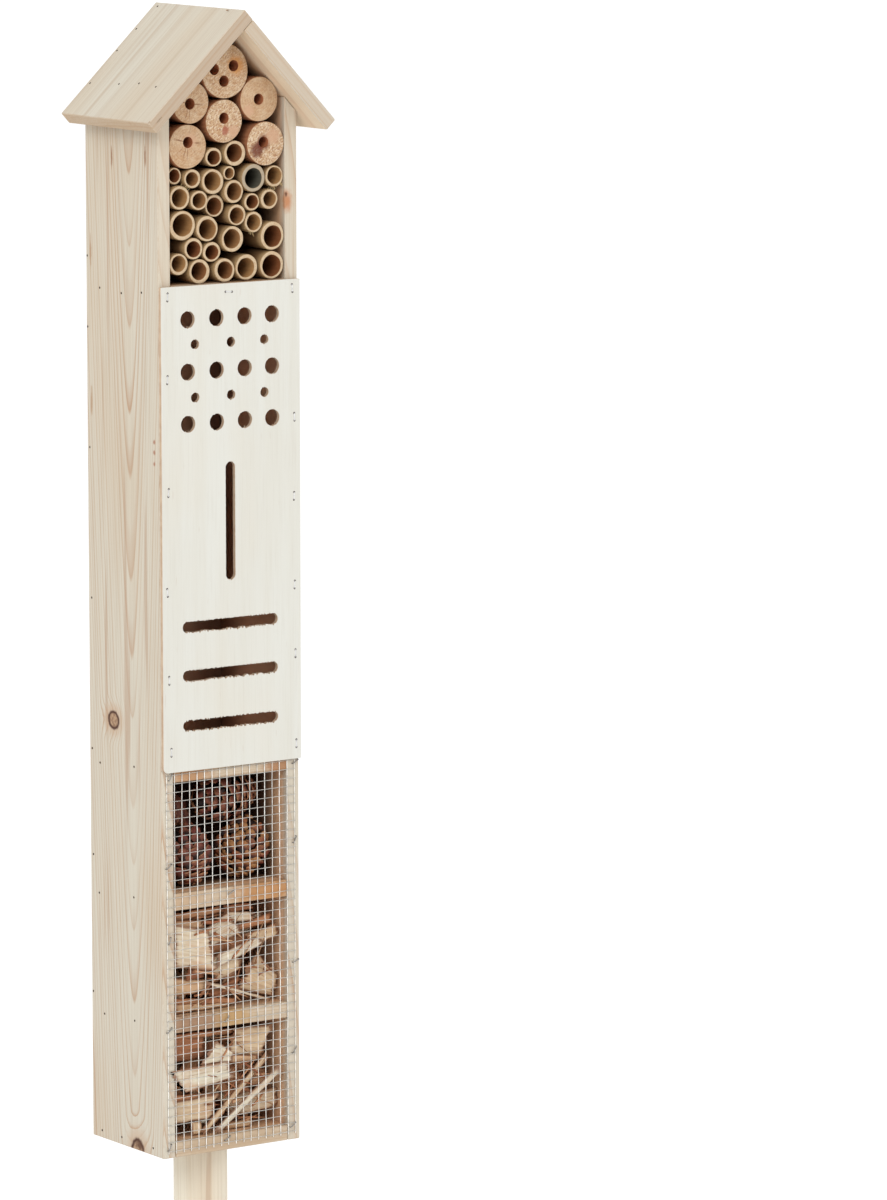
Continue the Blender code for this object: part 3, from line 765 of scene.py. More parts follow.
def wires(name, paths, thickness, material, nodes=(), sides=1):
    """One mesh of wires swept along paths of points."""
    curve = bpy.data.curves.new(name, "CURVE")
    curve.dimensions = "3D"
    curve.bevel_depth = thickness / 2
    curve.bevel_resolution = sides
    curve.use_fill_caps = True
    thread(curve, paths)
    mesh = applied(helper(name, curve), name)
    bm = unite(mesh)
    mesh.clear_geometry()
    bm.to_mesh(mesh)
    bm.free()
    smooth(mesh, 50)
    return piece(name, mesh, [material], nodes)


def dress(node, grain, across, pith, ring, nicks=(), **looks):
    """A board cut from its CAD shape: eased arrises, nicked corners and its own sawn timber.

    nicks are (point, size in mm, turn in degrees) of the bites out of it.
    """
    cad_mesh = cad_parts[node].data
    extent = []
    for axis in (grain, across, grain.cross(across)):
        places = [vertex.co.dot(axis) for vertex in cad_mesh.vertices]
        extent.append((min(places), max(places)))
    wood = timber("timber_" + node, grain, across, pith, ring, extent, **looks)
    bm = bmesh.new()
    bm.from_mesh(cad_mesh)
    bmesh.ops.dissolve_limit(bm, angle_limit=math.radians(1), verts=bm.verts, edges=bm.edges)
    arrises = [edge for edge in bm.edges if edge.calc_face_angle(0) > math.radians(30)]
    bmesh.ops.bevel(bm, geom=arrises, offset=ARRIS * MM, segments=2, profile=0.6, affect="EDGES")
    board = helper(node + "_eased", mesh_of(bm, node + "_eased", 20))
    tools = []
    for number, (place, size, turn) in enumerate(nicks):
        bite = bmesh.new()
        bmesh.ops.create_icosphere(bite, subdivisions=2, radius=1.0)
        for vert in bite.verts:
            vert.co *= 1 + 0.35 * noise.noise(vert.co * 1.7 + Vector((number, 3, 7)))
        bmesh.ops.scale(bite, vec=[length * MM for length in size], verts=bite.verts)
        tool = helper(f"{node}_bite_{number}", mesh_of(bite, "bite"))
        tool.location = place
        tool.rotation_euler = [math.radians(angle) for angle in turn]
        tools.append(tool)
    mesh = carved(board, tools, node + "_sawn")
    smooth(mesh, 20)
    flat = {key for face in mesh.polygons if face.area > FLAT_AREA for key in face.edge_keys}
    for edge in mesh.edges:
        if edge.key in flat:
            edge.use_edge_sharp = True
    piece(node + "_sawn", mesh, [Shader.finish(*wood, 0.12)], [node])


def make_boards():
    """The carcass, roof and shelves, each from its own length of timber."""
    brown, streak, red_dot = (196, 158, 122), (170, 126, 92), (184, 126, 98)
    knots = ((at(-58, 62.8, 308), (9, 7.2, 6.6)), (at(-58, 34.5, -1.5), (9, 8.5, 10)))
    stains = [(at(-58, 89, height), (9, 1.5, 13), brown) for height in (534, 640)]
    stains += [(at(-58, depth, height), (3, 1.5, 9), streak) for depth, height in ((60, 709), (16, 713))]
    stains += [(at(-58, 6.6, height), (3, 1.7, 1.9), red_dot) for height in (512.6, 505.3, 497.3)]
    stains += [(at(-58, 32, 4), (5, 5, 4.5), (104, 66, 44))]
    dress("side_left", Z_AXIS, Y_AXIS, (-4, 43), 3.0, climb=0.055, wave=2.6, contrast=0.95,
          knots=knots, stains=stains, front=0.05)
    orange = (at(49, 0, 677), (5.5, 4, 9), (206, 132, 78))
    nick = (at(49, 0, 681.5), (1.2, 1.5, 2.2), (96, 54, 34))
    dress("side_right", Z_AXIS, Y_AXIS, (12, -40), 2.7, climb=-0.04, wave=2.4, contrast=0.95,
          stains=(orange, nick))
    ridge = at(RIDGE[0], -20, RIDGE[1])
    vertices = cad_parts["roof_left"].data.vertices
    eave = ridge + DOWN_LEFT * max((vertex.co - ridge).dot(DOWN_LEFT) for vertex in vertices)
    nicks = (
        (eave, (1.6, 1.2, 2.4), (0, 40, 10)),
        (eave + Vector((9, 0, 2)) * MM, (3.5, 0.8, 0.7), (0, -43, 0)),
        (ridge + Vector((-0.5, 20.5, 0.2)) * MM, (2.6, 1.3, 1.1), (0, 20, 30)),
    )
    dress("roof_left", DOWN_LEFT, Y_AXIS, (-75, -30), 2.6, nicks, wave=1.6, contrast=0.55,
          late=(196, 164, 132), below_only=True, front=0.7)
    dress("roof_right", DOWN_RIGHT, Y_AXIS, (38, 40), 3.0, wave=2.0, contrast=0.5, below_only=True,
          front=0.4)
    dress("back_panel", Z_AXIS, X_AXIS, (-14, 30), 3.4, climb=0.05, wave=3.0)
    for number, (shelf, patches) in enumerate(SHELF_PATCHES.items()):
        middle = (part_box(shelf)[0].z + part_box(shelf)[1].z) / 2
        stains = [(Vector((x * MM, FRONT, middle)), (reach, 12, 12), tint) for x, reach, tint in patches]
        dress(shelf, X_AXIS, Y_AXIS, (-60 + 9 * number, middle / MM - 24), 2.2, wave=1.4,
              pale=(232, 213, 186), late=(192, 150, 114), stains=stains)


def ragged(point, outwards, tear):
    """Moves a cut's edge by torn fibres, which hang along Z."""
    torn = noise.noise(Vector((point.x * 1150, 0, point.z * 60))) * abs(outwards.z) ** 2
    nick = noise.noise(Vector((point.x * 420, 7, point.z * 420)))
    return point + Z_AXIS * torn * tear + outwards * nick * 0.12 * MM


def stadium(x, height, width, length, tear, upright=False):
    """The outline of a round-ended slot, or of a hole where its length is its width."""
    points = []
    half = (length - width) / 2
    steps = 26
    run = int(2 * half / 0.6)
    for end in (1, -1):
        for step in range(steps + 1):
            angle = math.pi * (step / steps - 0.5) + (0 if end > 0 else math.pi)
            points.append((X_AXIS * end * half, spoke(angle)))
        points += [(X_AXIS * end * half * (1 - 2 * step / run), Z_AXIS * end) for step in range(1, run)]
    turn = Matrix.Rotation(math.pi / 2 if upright else 0, 3, "Y")
    outline = []
    for centre, outwards in points:
        outwards = turn @ outwards
        spot = turn @ centre * MM + outwards * (width * MM / 2)
        outline.append(ragged(spot + Vector((x, 0, height)) * MM, outwards, tear))
    return outline


def panel_outline():
    """The panel's rim, with a knocked corner at the lower left."""
    low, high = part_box("front_panel")
    points = []
    for side, end, radius in PANEL_CORNERS:
        corner = Vector((high.x if side > 0 else low.x, 0, (high.z if end > 0 else low.z) - UNDERSIDE))
        centre = corner - Vector((side, 0, end)) * radius * MM
        first = math.atan2(end, side) - math.pi / 4
        points += [centre + spoke(first + math.pi / 2 * step / 6) * radius * MM for step in range(7)]
    return points


def make_panel():
    """The plywood panel, with torn fibres round its holes and slots."""
    outlines = [panel_outline()]
    large, small = (LARGE_HOLE, LARGE_COLUMNS, LARGE_ROWS), (SMALL_HOLE, SMALL_COLUMNS, SMALL_ROWS)
    for size, columns, rows in (large, small):
        outlines += [stadium(x, height, size, size, 0.7 * MM) for height in rows for x in columns]
    outlines += [stadium(x, height, SLOT_WIDTH, length, 1.5 * MM) for x, height, length in LEVEL_SLOTS]
    x, height, length = UPRIGHT_SLOT
    outlines.append(stadium(x, height, SLOT_WIDTH, length, 0.8 * MM, upright=True))
    low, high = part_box("front_panel")
    curve = bpy.data.curves.new("panel", "CURVE")
    curve.dimensions = "2D"
    curve.fill_mode = "BOTH"
    curve.extrude = (high.y - low.y) / 2
    thread(curve, [[(point.x, point.z, 0) for point in outline] for outline in outlines], cyclic=True)
    name = "front_panel_veneered"
    mesh = applied(helper("panel", curve), name)
    mesh.transform(Matrix.Translation((0, (low.y + high.y) / 2, UNDERSIDE)) @ STAND_UP)
    piece(name, mesh_of(unite(mesh), name, 35), [plywood()], ["front_panel"])


def round_node(name):
    """The middle of a round CAD node's front end, its radius and its length."""
    low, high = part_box(name)
    middle = Vector(((low.x + high.x) / 2, low.y, (low.z + high.z) / 2))
    return middle, (high.x - low.x) / 2, high.y - low.y


def bumps(angle, fineness, y, x=0, z=0):
    """Noise at an angle round a body that lies along Y."""
    return noise.noise(Vector((math.cos(angle) * fineness + x, y, math.sin(angle) * fineness + z)))


def make_logs():
    bore = bore_wood()
    for number, (name, (holes, pith, ring, coarse, checks, stains)) in enumerate(LOGS.items()):
        place, radius, length = round_node(name)

        def uneven(index, angle, point, seed=number):
            """A hand-peeled outline, a little flattened here and there."""
            flats = bumps(angle, 1.4, point.y * 14 + seed * 9)
            hacks = bumps(angle, 9, point.y * 60, z=seed)
            scale = 1 - 0.008 + 0.014 * flats + 0.004 * hacks
            return point.x * scale, point.y + 0.12 * MM * hacks, point.z * scale

        steps = [(0, radius - 0.55 * MM), (0.18 * MM, radius - 0.2 * MM), (0.6 * MM, radius)]
        steps += [(length * step / 12, radius) for step in range(1, 12)]
        steps += [(length - 0.5 * MM, radius), (length, radius - 0.5 * MM)]
        log = helper(name + "_sawn", mesh_of(revolve(steps, 72, uneven), name))
        drills = []
        for x, height in holes:
            tip = [(-5 * MM, LOG_HOLE / 2 * MM), (LOG_HOLE_DEPTH * MM, LOG_HOLE / 2 * MM),
                   ((LOG_HOLE_DEPTH + 2) * MM, 0.5 * MM)]
            drill = helper(name + "_drill", mesh_of(revolve(tip, 36), name + "_drill"))
            drill.location = (x * MM, 0, height * MM)
            drills.append(drill)
        mesh = carved(log, drills, name + "_drilled")
        mark_bores(mesh, holes)
        wood = log_end(name + "_wood", pith, ring, coarse, checks, stains)
        piece(name + "_drilled", mesh, [wood, bore], [name], place)


def mark_bores(mesh, holes):
    """Gives the drilled walls of a log the second material."""
    for face in mesh.polygons:
        if face.center.y < 0.3 * MM and abs(face.normal.y) > 0.8:
            continue
        for x, height in holes:
            away = math.hypot(face.center.x - x * MM, face.center.z - height * MM)
            if away < (LOG_HOLE / 2 + 0.3) * MM:
                face.material_index = 1
    smooth(mesh, 40)


def make_tubes():
    skin = bamboo()
    for name in sorted(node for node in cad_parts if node.startswith("bamboo_tube_")):
        place, radius, length = round_node(name)
        rng = random.Random(name)
        wall = (0.25 * radius + 0.05 * MM) * rng.uniform(0.86, 1.12)
        inner = radius - wall
        shift = Vector((rng.uniform(-1, 1), 0, rng.uniform(-1, 1))) * wall * 0.22
        squash, lean, seed = rng.uniform(0.0, 0.03), rng.uniform(0, math.pi), rng.uniform(0, 90)
        outside = [(length, radius), (length / 2, radius), (0.7 * MM, radius),
                   (0.2 * MM, radius - 0.12 * MM), (0, radius - 0.4 * MM)]
        profile = outside + [(0, inner + 0.35 * MM), (0.15 * MM, inner + 0.1 * MM), (0.6 * MM, inner),
                             (12 * MM, inner), (0.9 * length, inner * 0.97)]

        def grown(index, angle, point):
            """Out of round, with the bore off centre and a rim sawn not quite flat."""
            oval = 0.985 + squash * (math.cos(2 * (angle - lean)) - 1)
            knobs = bumps(angle, 2, point.y * 30, x=seed)
            if index < len(outside):
                point = point * (oval + 0.014 * knobs)
            else:
                point = point * (oval + 0.03 * knobs) + shift
            saw = noise.noise(Vector((point.x * 300, seed, point.z * 300)))
            y = profile[index][0] + (0.22 * MM * saw if 2 < index < 7 else 0)
            return point.x, y, point.z

        bm = revolve(profile, 40, grown)
        tone_layer = bm.verts.layers.float.new("tone")
        tone = TUBE_TONES.get(name, rng.random())
        for vert in bm.verts:
            vert[tone_layer] = tone
        piece(name.replace("tube", "cane"), mesh_of(bm, name, 60), [skin], [name], place)


def add_scale(bm, layers, place, length, width, thickness, tone):
    """One cone scale: a spoon that widens and thickens to a rounded tip with a small boss."""
    reach_layer, tone_layer = layers

    def vertex(side, a, v):
        b = 2 * v - 1
        half = width / 2 * (0.4 + 0.6 * math.sin(min(a * 1.25, 1) * math.pi / 2))
        rounding = math.sqrt(1 - 0.8 * max(0, (a - 0.75) / 0.25) ** 2)
        thick = thickness * (0.35 + 0.65 * a ** 2) * (1 - 0.5 * b * b) * rounding
        boss = 0.55 * thickness * max(0, 1 - ((a - 0.82) / 0.2) ** 2) * (1 - abs(b)) ** 2
        up = -0.16 * width * b * b + side * thick / 2 + (boss if side > 0 else 0)
        vert = bm.verts.new(place @ Vector((length * a * (1 - 0.26 * b * b), half * b, up)))
        vert[reach_layer] = a
        vert[tone_layer] = tone
        return vert

    slab(bm, (1, -1), 6, 4, vertex)


def make_cones():
    """Half-open cones: scales set round a spindle at the golden angle, overlapping to the tip."""
    for number, (name, centre, length, size, (turn, tilt), tip) in enumerate(CONES):
        rng = random.Random(number + 11)
        bm = bmesh.new()
        layers = (bm.verts.layers.float.new("reach"), bm.verts.layers.float.new("tone"))
        for k in range(SCALES_PER_CONE):
            t = (k + 0.5) / SCALES_PER_CONE
            angle = k * GOLDEN_ANGLE + rng.uniform(-0.16, 0.16)
            radial = Vector((math.cos(angle), math.sin(angle), 0))
            level = 2 * t - 1
            girth = size / 2 * math.sqrt(1 - level * level)
            spot = radial * girth + Z_AXIS * (length / 2 * level)
            out = Vector((spot.x / size ** 2, spot.y / size ** 2, spot.z / length ** 2)).normalized()
            to_tip = radial.cross(out).cross(out).normalized()
            if to_tip.z < 0:
                to_tip.negate()
            flare = math.radians(35 - 23 * t + rng.gauss(0, 11))
            along = to_tip * math.cos(flare) + out * math.sin(flare)
            up = out * math.cos(flare) - to_tip * math.sin(flare)
            lie = Matrix((along, up.cross(along), up)).transposed().to_4x4()
            reach = 11.5 * rng.uniform(0.92, 1.05) * (1 - 0.25 * t)
            breadth = (10.4 - 3.6 * t * t) * rng.uniform(0.88, 1.1)
            place = Matrix.Translation((spot - along * reach) * MM) @ lie
            add_scale(bm, layers, place, reach * MM, breadth * MM, 1.9 * MM, rng.random())
        add_core(bm, layers[0], length, size)
        nodes = [name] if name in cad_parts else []
        wood = cone_scales(name + "_scales", tip)
        piece(name + "_scaled", mesh_of(bm, name, 60), [wood], nodes, at(*centre),
              (0, math.radians(turn), math.radians(tilt)))


def add_core(bm, reach_layer, length, size):
    """The cone's dark woody spindle."""
    rings = []
    for step in range(9):
        t = step / 8
        girth = 0.3 * size * MM * math.sin(math.pi * (0.08 + 0.84 * t))
        height = length * MM * (-0.47 + 0.94 * t)
        spots = [(girth * math.cos(angle), girth * math.sin(angle), height) for angle in turns(12)]
        ring = [bm.verts.new(spot) for spot in spots]
        for vert in ring:
            vert[reach_layer] = 0.15
        rings.append(ring)
    close(bm, rings)


def add_chip(bm, corners, depth, slant, thickness, redness, rng):
    """A split chip: a slab over four corners, its grain from the first end to the second.

    Its ends are ragged, its faces ridged along the grain, and it bends and tapers a little.
    """
    floats, vectors = bm.verts.layers.float, bm.verts.layers.float_vector
    first_low, second_low, second_high, first_high = (Vector(corner) for corner in corners)
    long = ((second_low + second_high) - (first_low + first_high)).length / 2
    wide = ((first_high - first_low).length + (second_high - second_low).length) / 2
    seed = rng.uniform(0, 500)
    bend, twist = rng.uniform(-1.2, 1.2), rng.uniform(-0.8, 0.8)

    def vertex(side, u, v):
        ends = abs(2 * u - 1) ** 8 * (1 if u > 0.5 else -1)
        tear = noise.noise(Vector((seed, v * wide / 1.6, side * 0.3 + (u > 0.5) * 9)))
        u_torn = u + ends * tear * min(4.2, 0.18 * long) / long
        waver = noise.noise(Vector((u * long / 7, seed + 3, (v > 0.5) * 5)))
        v_torn = v + (2 * v - 1) * 0.5 * waver * 1.4 / wide
        spot = first_low.lerp(second_low, u_torn).lerp(first_high.lerp(second_high, u_torn), v_torn)
        ridge = noise.noise(Vector((u * long / 9, v * wide / 1.1, seed + side)))
        thin = (1 - 0.65 * abs(2 * v - 1) ** 5) * (1 - 0.75 * abs(2 * u - 1) ** 7)
        half = thickness / 2 * thin * (1 + 0.25 * ridge)
        bow = bend * (4 * u * (1 - u) - 0.5) + twist * (2 * u - 1) * (2 * v - 1)
        behind = depth + slant[0] * (u - 0.5) + slant[1] * (v - 0.5) + bow + side * half
        vert = bm.verts.new(at(spot.x, max(behind, 0.6 if spot.x > -47 else -1.1), spot.y))
        vert[vectors["grain"]] = Vector((u * long + seed, v * wide, side * thickness / 2)) * MM
        vert[floats["redness"]] = redness
        vert[floats["rim"]] = max(abs(2 * u - 1), abs(2 * v - 1)) ** 6
        return vert

    slab(bm, (-1, 1), max(8, int(long / 2)), max(4, int(wide / 1.4)), vertex)


def chip_bmesh():
    bm = bmesh.new()
    bm.verts.layers.float_vector.new("grain")
    bm.verts.layers.float.new("redness")
    bm.verts.layers.float.new("rim")
    return bm


def chips_piece(name, bm, wood, nodes=()):
    piece(name, mesh_of(bm, name, 45), [wood], nodes)


def make_chips():
    wood = split_wood()
    spare = 0
    for number, depth, thickness, redness, *corners in FRONT_CHIPS:
        rng = random.Random(number * 31 + int(depth * 10))
        bm = chip_bmesh()
        slant = (LEFTMOST_SLANT if number == LEFTMOST_CHIP else 0, 0)
        add_chip(bm, corners, depth, slant, thickness, redness, rng)
        spare += not number
        if number:
            chips_piece(f"split_chip_{number:02d}", bm, wood, [f"wood_chip_{number:02d}"])
        else:
            chips_piece(f"split_chip_extra_{spare}", bm, wood)
    for box, (box_name, floor, ceiling) in enumerate(CHIP_BOXES):
        chips_piece("splinters_" + box_name, splinters(random.Random(box + 40), floor, ceiling), wood)
        rng = random.Random(box + 5)
        for layer, (layer_name, depth) in enumerate(CHIP_LAYERS):
            bm = chip_bmesh()
            for k in range(CHIPS_PER_LAYER):
                add_loose_chip(bm, rng, floor, ceiling, depth + 0.75 * k, layer)
            chips_piece(f"loose_chips_{box_name}_{layer_name}", bm, wood)


def tapered(centre, angle, half_long, half_wide, narrow):
    """The corners of a chip that lies at an angle and is narrower at its second end."""
    along = Vector((math.cos(angle), math.sin(angle))) * half_long
    aside = Vector((-math.sin(angle), math.cos(angle))) * half_wide
    return (centre - along - aside, centre + along - aside * narrow,
            centre + along + aside * narrow, centre - along + aside)


def splinters(rng, floor, ceiling):
    """Thin brown splinters and bark strips caught between the chips at the front."""
    bm = chip_bmesh()
    for _ in range(SPLINTERS):
        angle = rng.choice((-0.5, 0.1, 0.9)) + rng.uniform(-0.3, 0.3)
        half_long, half_wide = rng.uniform(5, 13), rng.uniform(0.4, 1.3)
        room = half_long * abs(math.sin(angle)) + half_wide + 1
        across = rng.uniform(-43, 43) * (1 - half_long / 45)
        centre = Vector((across, rng.uniform(floor + room, ceiling - room)))
        corners = tapered(centre, angle, half_long, half_wide, 0.3)
        depth, slant = rng.uniform(3, 9.5), (rng.uniform(-3, 3), 0)
        add_chip(bm, corners, depth, slant, rng.uniform(0.7, 1.3), rng.uniform(0.35, 1.0), rng)
    return bm


def add_loose_chip(bm, rng, floor, ceiling, depth, layer):
    """A chip of chance size and lie that stays inside its compartment."""
    half_long, half_wide = rng.uniform(9, 24), rng.uniform(2, 8)
    angle = rng.choice((-1, 1)) * rng.uniform(0, 1.1)
    reach_x = half_long * abs(math.cos(angle)) + half_wide * abs(math.sin(angle))
    reach_z = half_long * abs(math.sin(angle)) + half_wide * abs(math.cos(angle))
    room_x = max(0, INNER / MM - 1.5 - reach_x)
    low, high = floor + reach_z, ceiling - reach_z
    across = rng.uniform(-room_x, room_x)
    centre = Vector((across, rng.uniform(low, high) if high > low else (low + high) / 2))
    corners = tapered(centre, angle, half_long, half_wide, rng.uniform(0.45, 1.0))
    slant = (rng.uniform(-4, 4), rng.uniform(-2, 2))
    redness = min(1.0, abs(rng.gauss(0.42 + 0.08 * layer, 0.25)))
    add_chip(bm, corners, depth, slant, rng.uniform(1.2, 2.6), redness, rng)


def make_wire_mesh():
    """Welded mesh: upright wires against the wood and level wires welded across them, darker as painted
    shade.
    """
    rng = random.Random(3)
    back_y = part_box("wire_mesh")[0].y + (0.5 * WIRE + 0.42) * MM
    front_y = back_y - 0.62 * MM
    uprights, levels = [], []
    for column in range(MESH_COLUMNS):
        x = MESH_LEFT + column * MESH_PITCH + rng.uniform(-0.15, 0.15)
        top = MESH_TOP + 0.5 + MESH_SLOPE * (x - MESH_LEFT)
        length = (MESH_ROWS - 0.84) * MESH_PITCH
        steps = 2 * MESH_ROWS
        heights = [top - length * step / steps for step in range(steps + 1)]
        uprights.append([wavy(x, height, back_y, column, 0) for height in heights])
    for row in range(MESH_ROWS):
        height = MESH_TOP - 0.3 - row * MESH_PITCH * 0.993 + rng.uniform(-0.12, 0.12)
        steps = 2 * MESH_COLUMNS
        start = MESH_LEFT - 0.5 - rng.uniform(0, 0.4)
        end = MESH_LEFT + (MESH_COLUMNS - 1) * MESH_PITCH + rng.uniform(0.3, 0.9)
        places = [start + (end - start) * step / steps for step in range(steps + 1)]
        levels.append([wavy(x, height + MESH_SLOPE * (x - MESH_LEFT), front_y, row + 40, 1) for x in places])
    zinc = galvanised("galvanised_wire", (248, 246, 240), 0.34)
    wires("upright_mesh_wires", uprights, WIRE * MM, zinc, ["wire_mesh"])
    # Painted shade: the level wires are the same zinc as the uprights, given a darker tone.
    dull = galvanised("shaded_galvanised_wire", (194, 191, 184), 0.42)
    wires("level_mesh_wires", levels, 0.8 * WIRE * MM, dull, ["wire_mesh"])


def wavy(x, height, y, seed, level):
    """A point on a wire that is not quite straight."""
    run = (x if level else height) / 23
    drift = noise.noise(Vector((run, seed * 3.7, level))) * 0.38
    sway = noise.noise(Vector((run * 0.7, seed * 1.9, 5 + level))) * 0.16 * MM
    if level:
        return in_plane(x, y + sway, height + drift)
    return in_plane(x + drift, y + sway, height)


def staple_path(centre, direction, sunk, proud):
    """A staple's wire: two legs in the wood and a crown across them."""
    half = direction * STAPLE_SPAN * MM / 2
    into, out = Y_AXIS * sunk * MM, -Y_AXIS * proud * MM
    corner = direction * 0.5 * MM
    return [centre - half + into, centre - half + out * 0.3, centre - half + corner + out,
            centre + half - corner + out, centre + half + out * 0.3, centre + half + into]


def make_staples():
    wire = galvanised("staple_wire", (228, 228, 230), 0.4)
    dull = galvanised("mesh_staple_wire", (150, 146, 142), 0.45)
    rng = random.Random(8)
    paths, ends = [], []
    for x, height in (*PANEL_STAPLES, TOP_STAPLE):
        upright = 0 if (x, height) == TOP_STAPLE else math.pi / 2
        direction = spoke(math.radians(rng.uniform(-5, 5)) + upright)
        centre = in_plane(x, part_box("front_panel")[0].y, height)
        paths.append(staple_path(centre, direction, 2.2, 0.12))
        ends += [centre + direction * side * STAPLE_SPAN * MM / 2 for side in (-1, 1)]
    wires("panel_staples", paths, 0.5 * MM, wire, sides=2)
    paths = []
    for x, height, lean in MESH_STAPLES:
        centre = in_plane(x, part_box("wire_mesh")[0].y, height)
        paths.append(staple_path(centre, spoke(math.radians(lean)), 3.5, 0.35))
    wires("mesh_staples", paths, 0.8 * MM, dull, sides=2)
    marks("staple_marks", [(end, -Y_AXIS) for end in ends], 0.8, 0.05)


def marks(name, spots, radius, proud):
    """Small dished discs of shadowed wood where fixings went in: (place, outward direction) for each."""
    bm = bmesh.new()
    for place, outwards in spots:
        across = outwards.orthogonal().normalized()
        upright = outwards.cross(across)
        rings = []
        for size, lift in ((1.0, -0.3), (1.0, 1.0), (0.72, 1.0), (0.5, 0.2)):
            centre = place + outwards * lift * proud * MM
            ring = [across * math.cos(angle) + upright * math.sin(angle) for angle in turns(12)]
            rings.append([bm.verts.new(centre + arm * size * radius * MM) for arm in ring])
        close(bm, rings)
    # The dark colour is partly painted shade in the pits and partly the sunk brad heads' own dark steel.
    wood = speckled("painted_pit_shade", (92, 74, 62), (54, 42, 36), 1800, 0.7, 0.1)
    piece(name, mesh_of(bm, name), [wood])


def make_nails():
    """Brads in the side walls, the roof boards and the back panel."""
    rng = random.Random(21)
    spots = []
    for side in (-1, 1):
        for depth, height in SIDE_NAILS:
            jitter = 0 if side < 0 else rng.uniform(-1.5, 1.5)
            place = at(side * OUTER / MM, min(depth + jitter, 93.5), max(height + jitter, 3))
            spots.append((place, X_AXIS * side))
    marks("side_nails", spots, 0.85, 0.06)
    spots = []
    for down, out, start in ((DOWN_LEFT, -DOWN_RIGHT, 0), (DOWN_RIGHT, -DOWN_LEFT, 1)):
        for depth, distance in ROOF_NAILS:
            spots.append((at(RIDGE[0], depth, RIDGE[1]) + down * (distance + start) * MM, out))
    marks("roof_nails", spots, 0.8, 0.06)
    spots = []
    for height in BACK_NAIL_ROWS:
        for x in BACK_NAIL_COLUMNS:
            place = at(x + rng.uniform(-2, 2), 95, height + rng.uniform(-1.5, 1.5))
            spots.append((place, Y_AXIS))
    marks("back_nails", spots, 0.85, 0.06)


def make_fibres():
    """Torn fibres: on bamboo rims, at the ridge, and pale slivers in some of the panel's holes."""
    rng = random.Random(17)
    paths = []
    for tube, turn in TUBE_FIBRES:
        centre, radius, _ = round_node(tube)
        for _ in range(7):
            arm = spoke(math.radians(turn + rng.uniform(-28, 28)))
            paths.append(curl(rng, centre + arm * radius * 0.9, arm - Y_AXIS * 0.5, rng.uniform(1.5, 3.6)))
    straw = speckled("bamboo_fibre", (226, 204, 156), (186, 146, 92))
    wires("bamboo_fibres", paths, 0.28 * MM, straw)
    paths = []
    for column, row in ((0, 0), (2, 2), (1, 2), (0, 2), (3, 1)):
        centre = in_plane(LARGE_COLUMNS[column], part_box("front_panel")[1].y - 0.6 * MM, LARGE_ROWS[row])
        for _ in range(3):
            foot = centre + spoke(math.radians(rng.uniform(235, 285))) * LARGE_HOLE / 2 * MM
            paths.append(curl(rng, foot, Vector((0.1, -0.1, 1)), rng.uniform(0.9, 1.9)))
    sliver = speckled("veneer_fibre", (240, 232, 214), (214, 184, 150))
    wires("panel_slivers", paths, 0.42 * MM, sliver)
    paths = []
    for k in range(3):
        foot = at(RIDGE[0], 2.2 * k, RIDGE[1] - 1.3)
        paths.append(curl(rng, foot, Vector((-0.9 + 0.8 * k, -0.5, 0.1 - 0.35 * k)), 5.5))
    shaving = speckled("pine_fibre", (206, 164, 128), (164, 116, 84))
    wires("ridge_splinters", paths, 0.7 * MM, shaving)


def curl(rng, start, direction, length):
    """A short fibre that bends as it goes, its root just under the surface."""
    side = direction.orthogonal().normalized() * rng.uniform(-0.8, 0.8)
    reaches = [step / 5 - 0.12 for step in range(6)]
    return [start + (direction.normalized() * t + side * t * t) * length * MM for t in reaches]


def make_stake():
    """A round pole, shaved on one side to a blunt point; the shaved face bulges slightly."""
    low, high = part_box("stake")
    radius, length, steps = high.y, high.z - low.z, 60
    profile = [(length * step / steps, radius) for step in range(steps)]
    profile += [(length - 1.2 * MM, radius), (length, radius - 1.2 * MM)]

    def grown(index, angle, point):
        scale = 1 - 0.006 + 0.008 * bumps(angle, 1, point.y * 9) + 0.003 * bumps(angle, 4, point.y * 50)
        return point.x * scale, point.y, point.z * scale

    def on_face(share, aside=0.0):
        """A point of the shaved face, a share of the way up from the tip."""
        tip = radius - TIP_WIDTH
        x = tip + (-radius - tip) * share - SHAVED_BULGE * math.sin(math.pi * share)
        return Vector((x, aside, low.z + SHAVED_LENGTH * share))

    bm = revolve(profile, 96, grown)
    bmesh.ops.transform(bm, matrix=Matrix.Translation((0, 0, low.z)) @ STAND_UP, verts=bm.verts)
    for start, end in ((0.0, 0.30), (0.30, 0.62), (0.62, 1.0)):
        shave(bm, on_face(start), on_face(end))
    pins = [(Vector((-radius * 0.98, y * MM, z * MM)), (6, 0.8, 1.1), (186, 132, 96))
            for y, z in ((-3, 60), (6, 125), (-8, 20))]
    s, colour, rough, height = timber("stake_pine", Z_AXIS, Y_AXIS, (4, 3), 2.6, wave=1.6, contrast=0.35,
                                      pale=(250, 242, 222), late=(228, 206, 176), stains=pins, share=0.69)
    colour = bark_streak(s, colour, on_face(0.33, 5 * MM), 4.2 * MM, 19 * MM)
    wood = s.finish(colour, rough, height, 0.12)
    piece("stake_shaved", mesh_of(bm, "stake_shaved", 12), [wood], ["stake"])


def shave(bm, foot, head):
    """Saws off what lies on the -X side of the plane through two points of the shaved face."""
    slope = (head - foot).normalized()
    bmesh.ops.bisect_plane(bm, geom=bm.verts[:] + bm.edges[:] + bm.faces[:], plane_co=foot,
                           plane_no=Vector((-slope.z, 0, slope.x)), clear_outer=True)
    bmesh.ops.holes_fill(bm, edges=[edge for edge in bm.edges if edge.is_boundary])


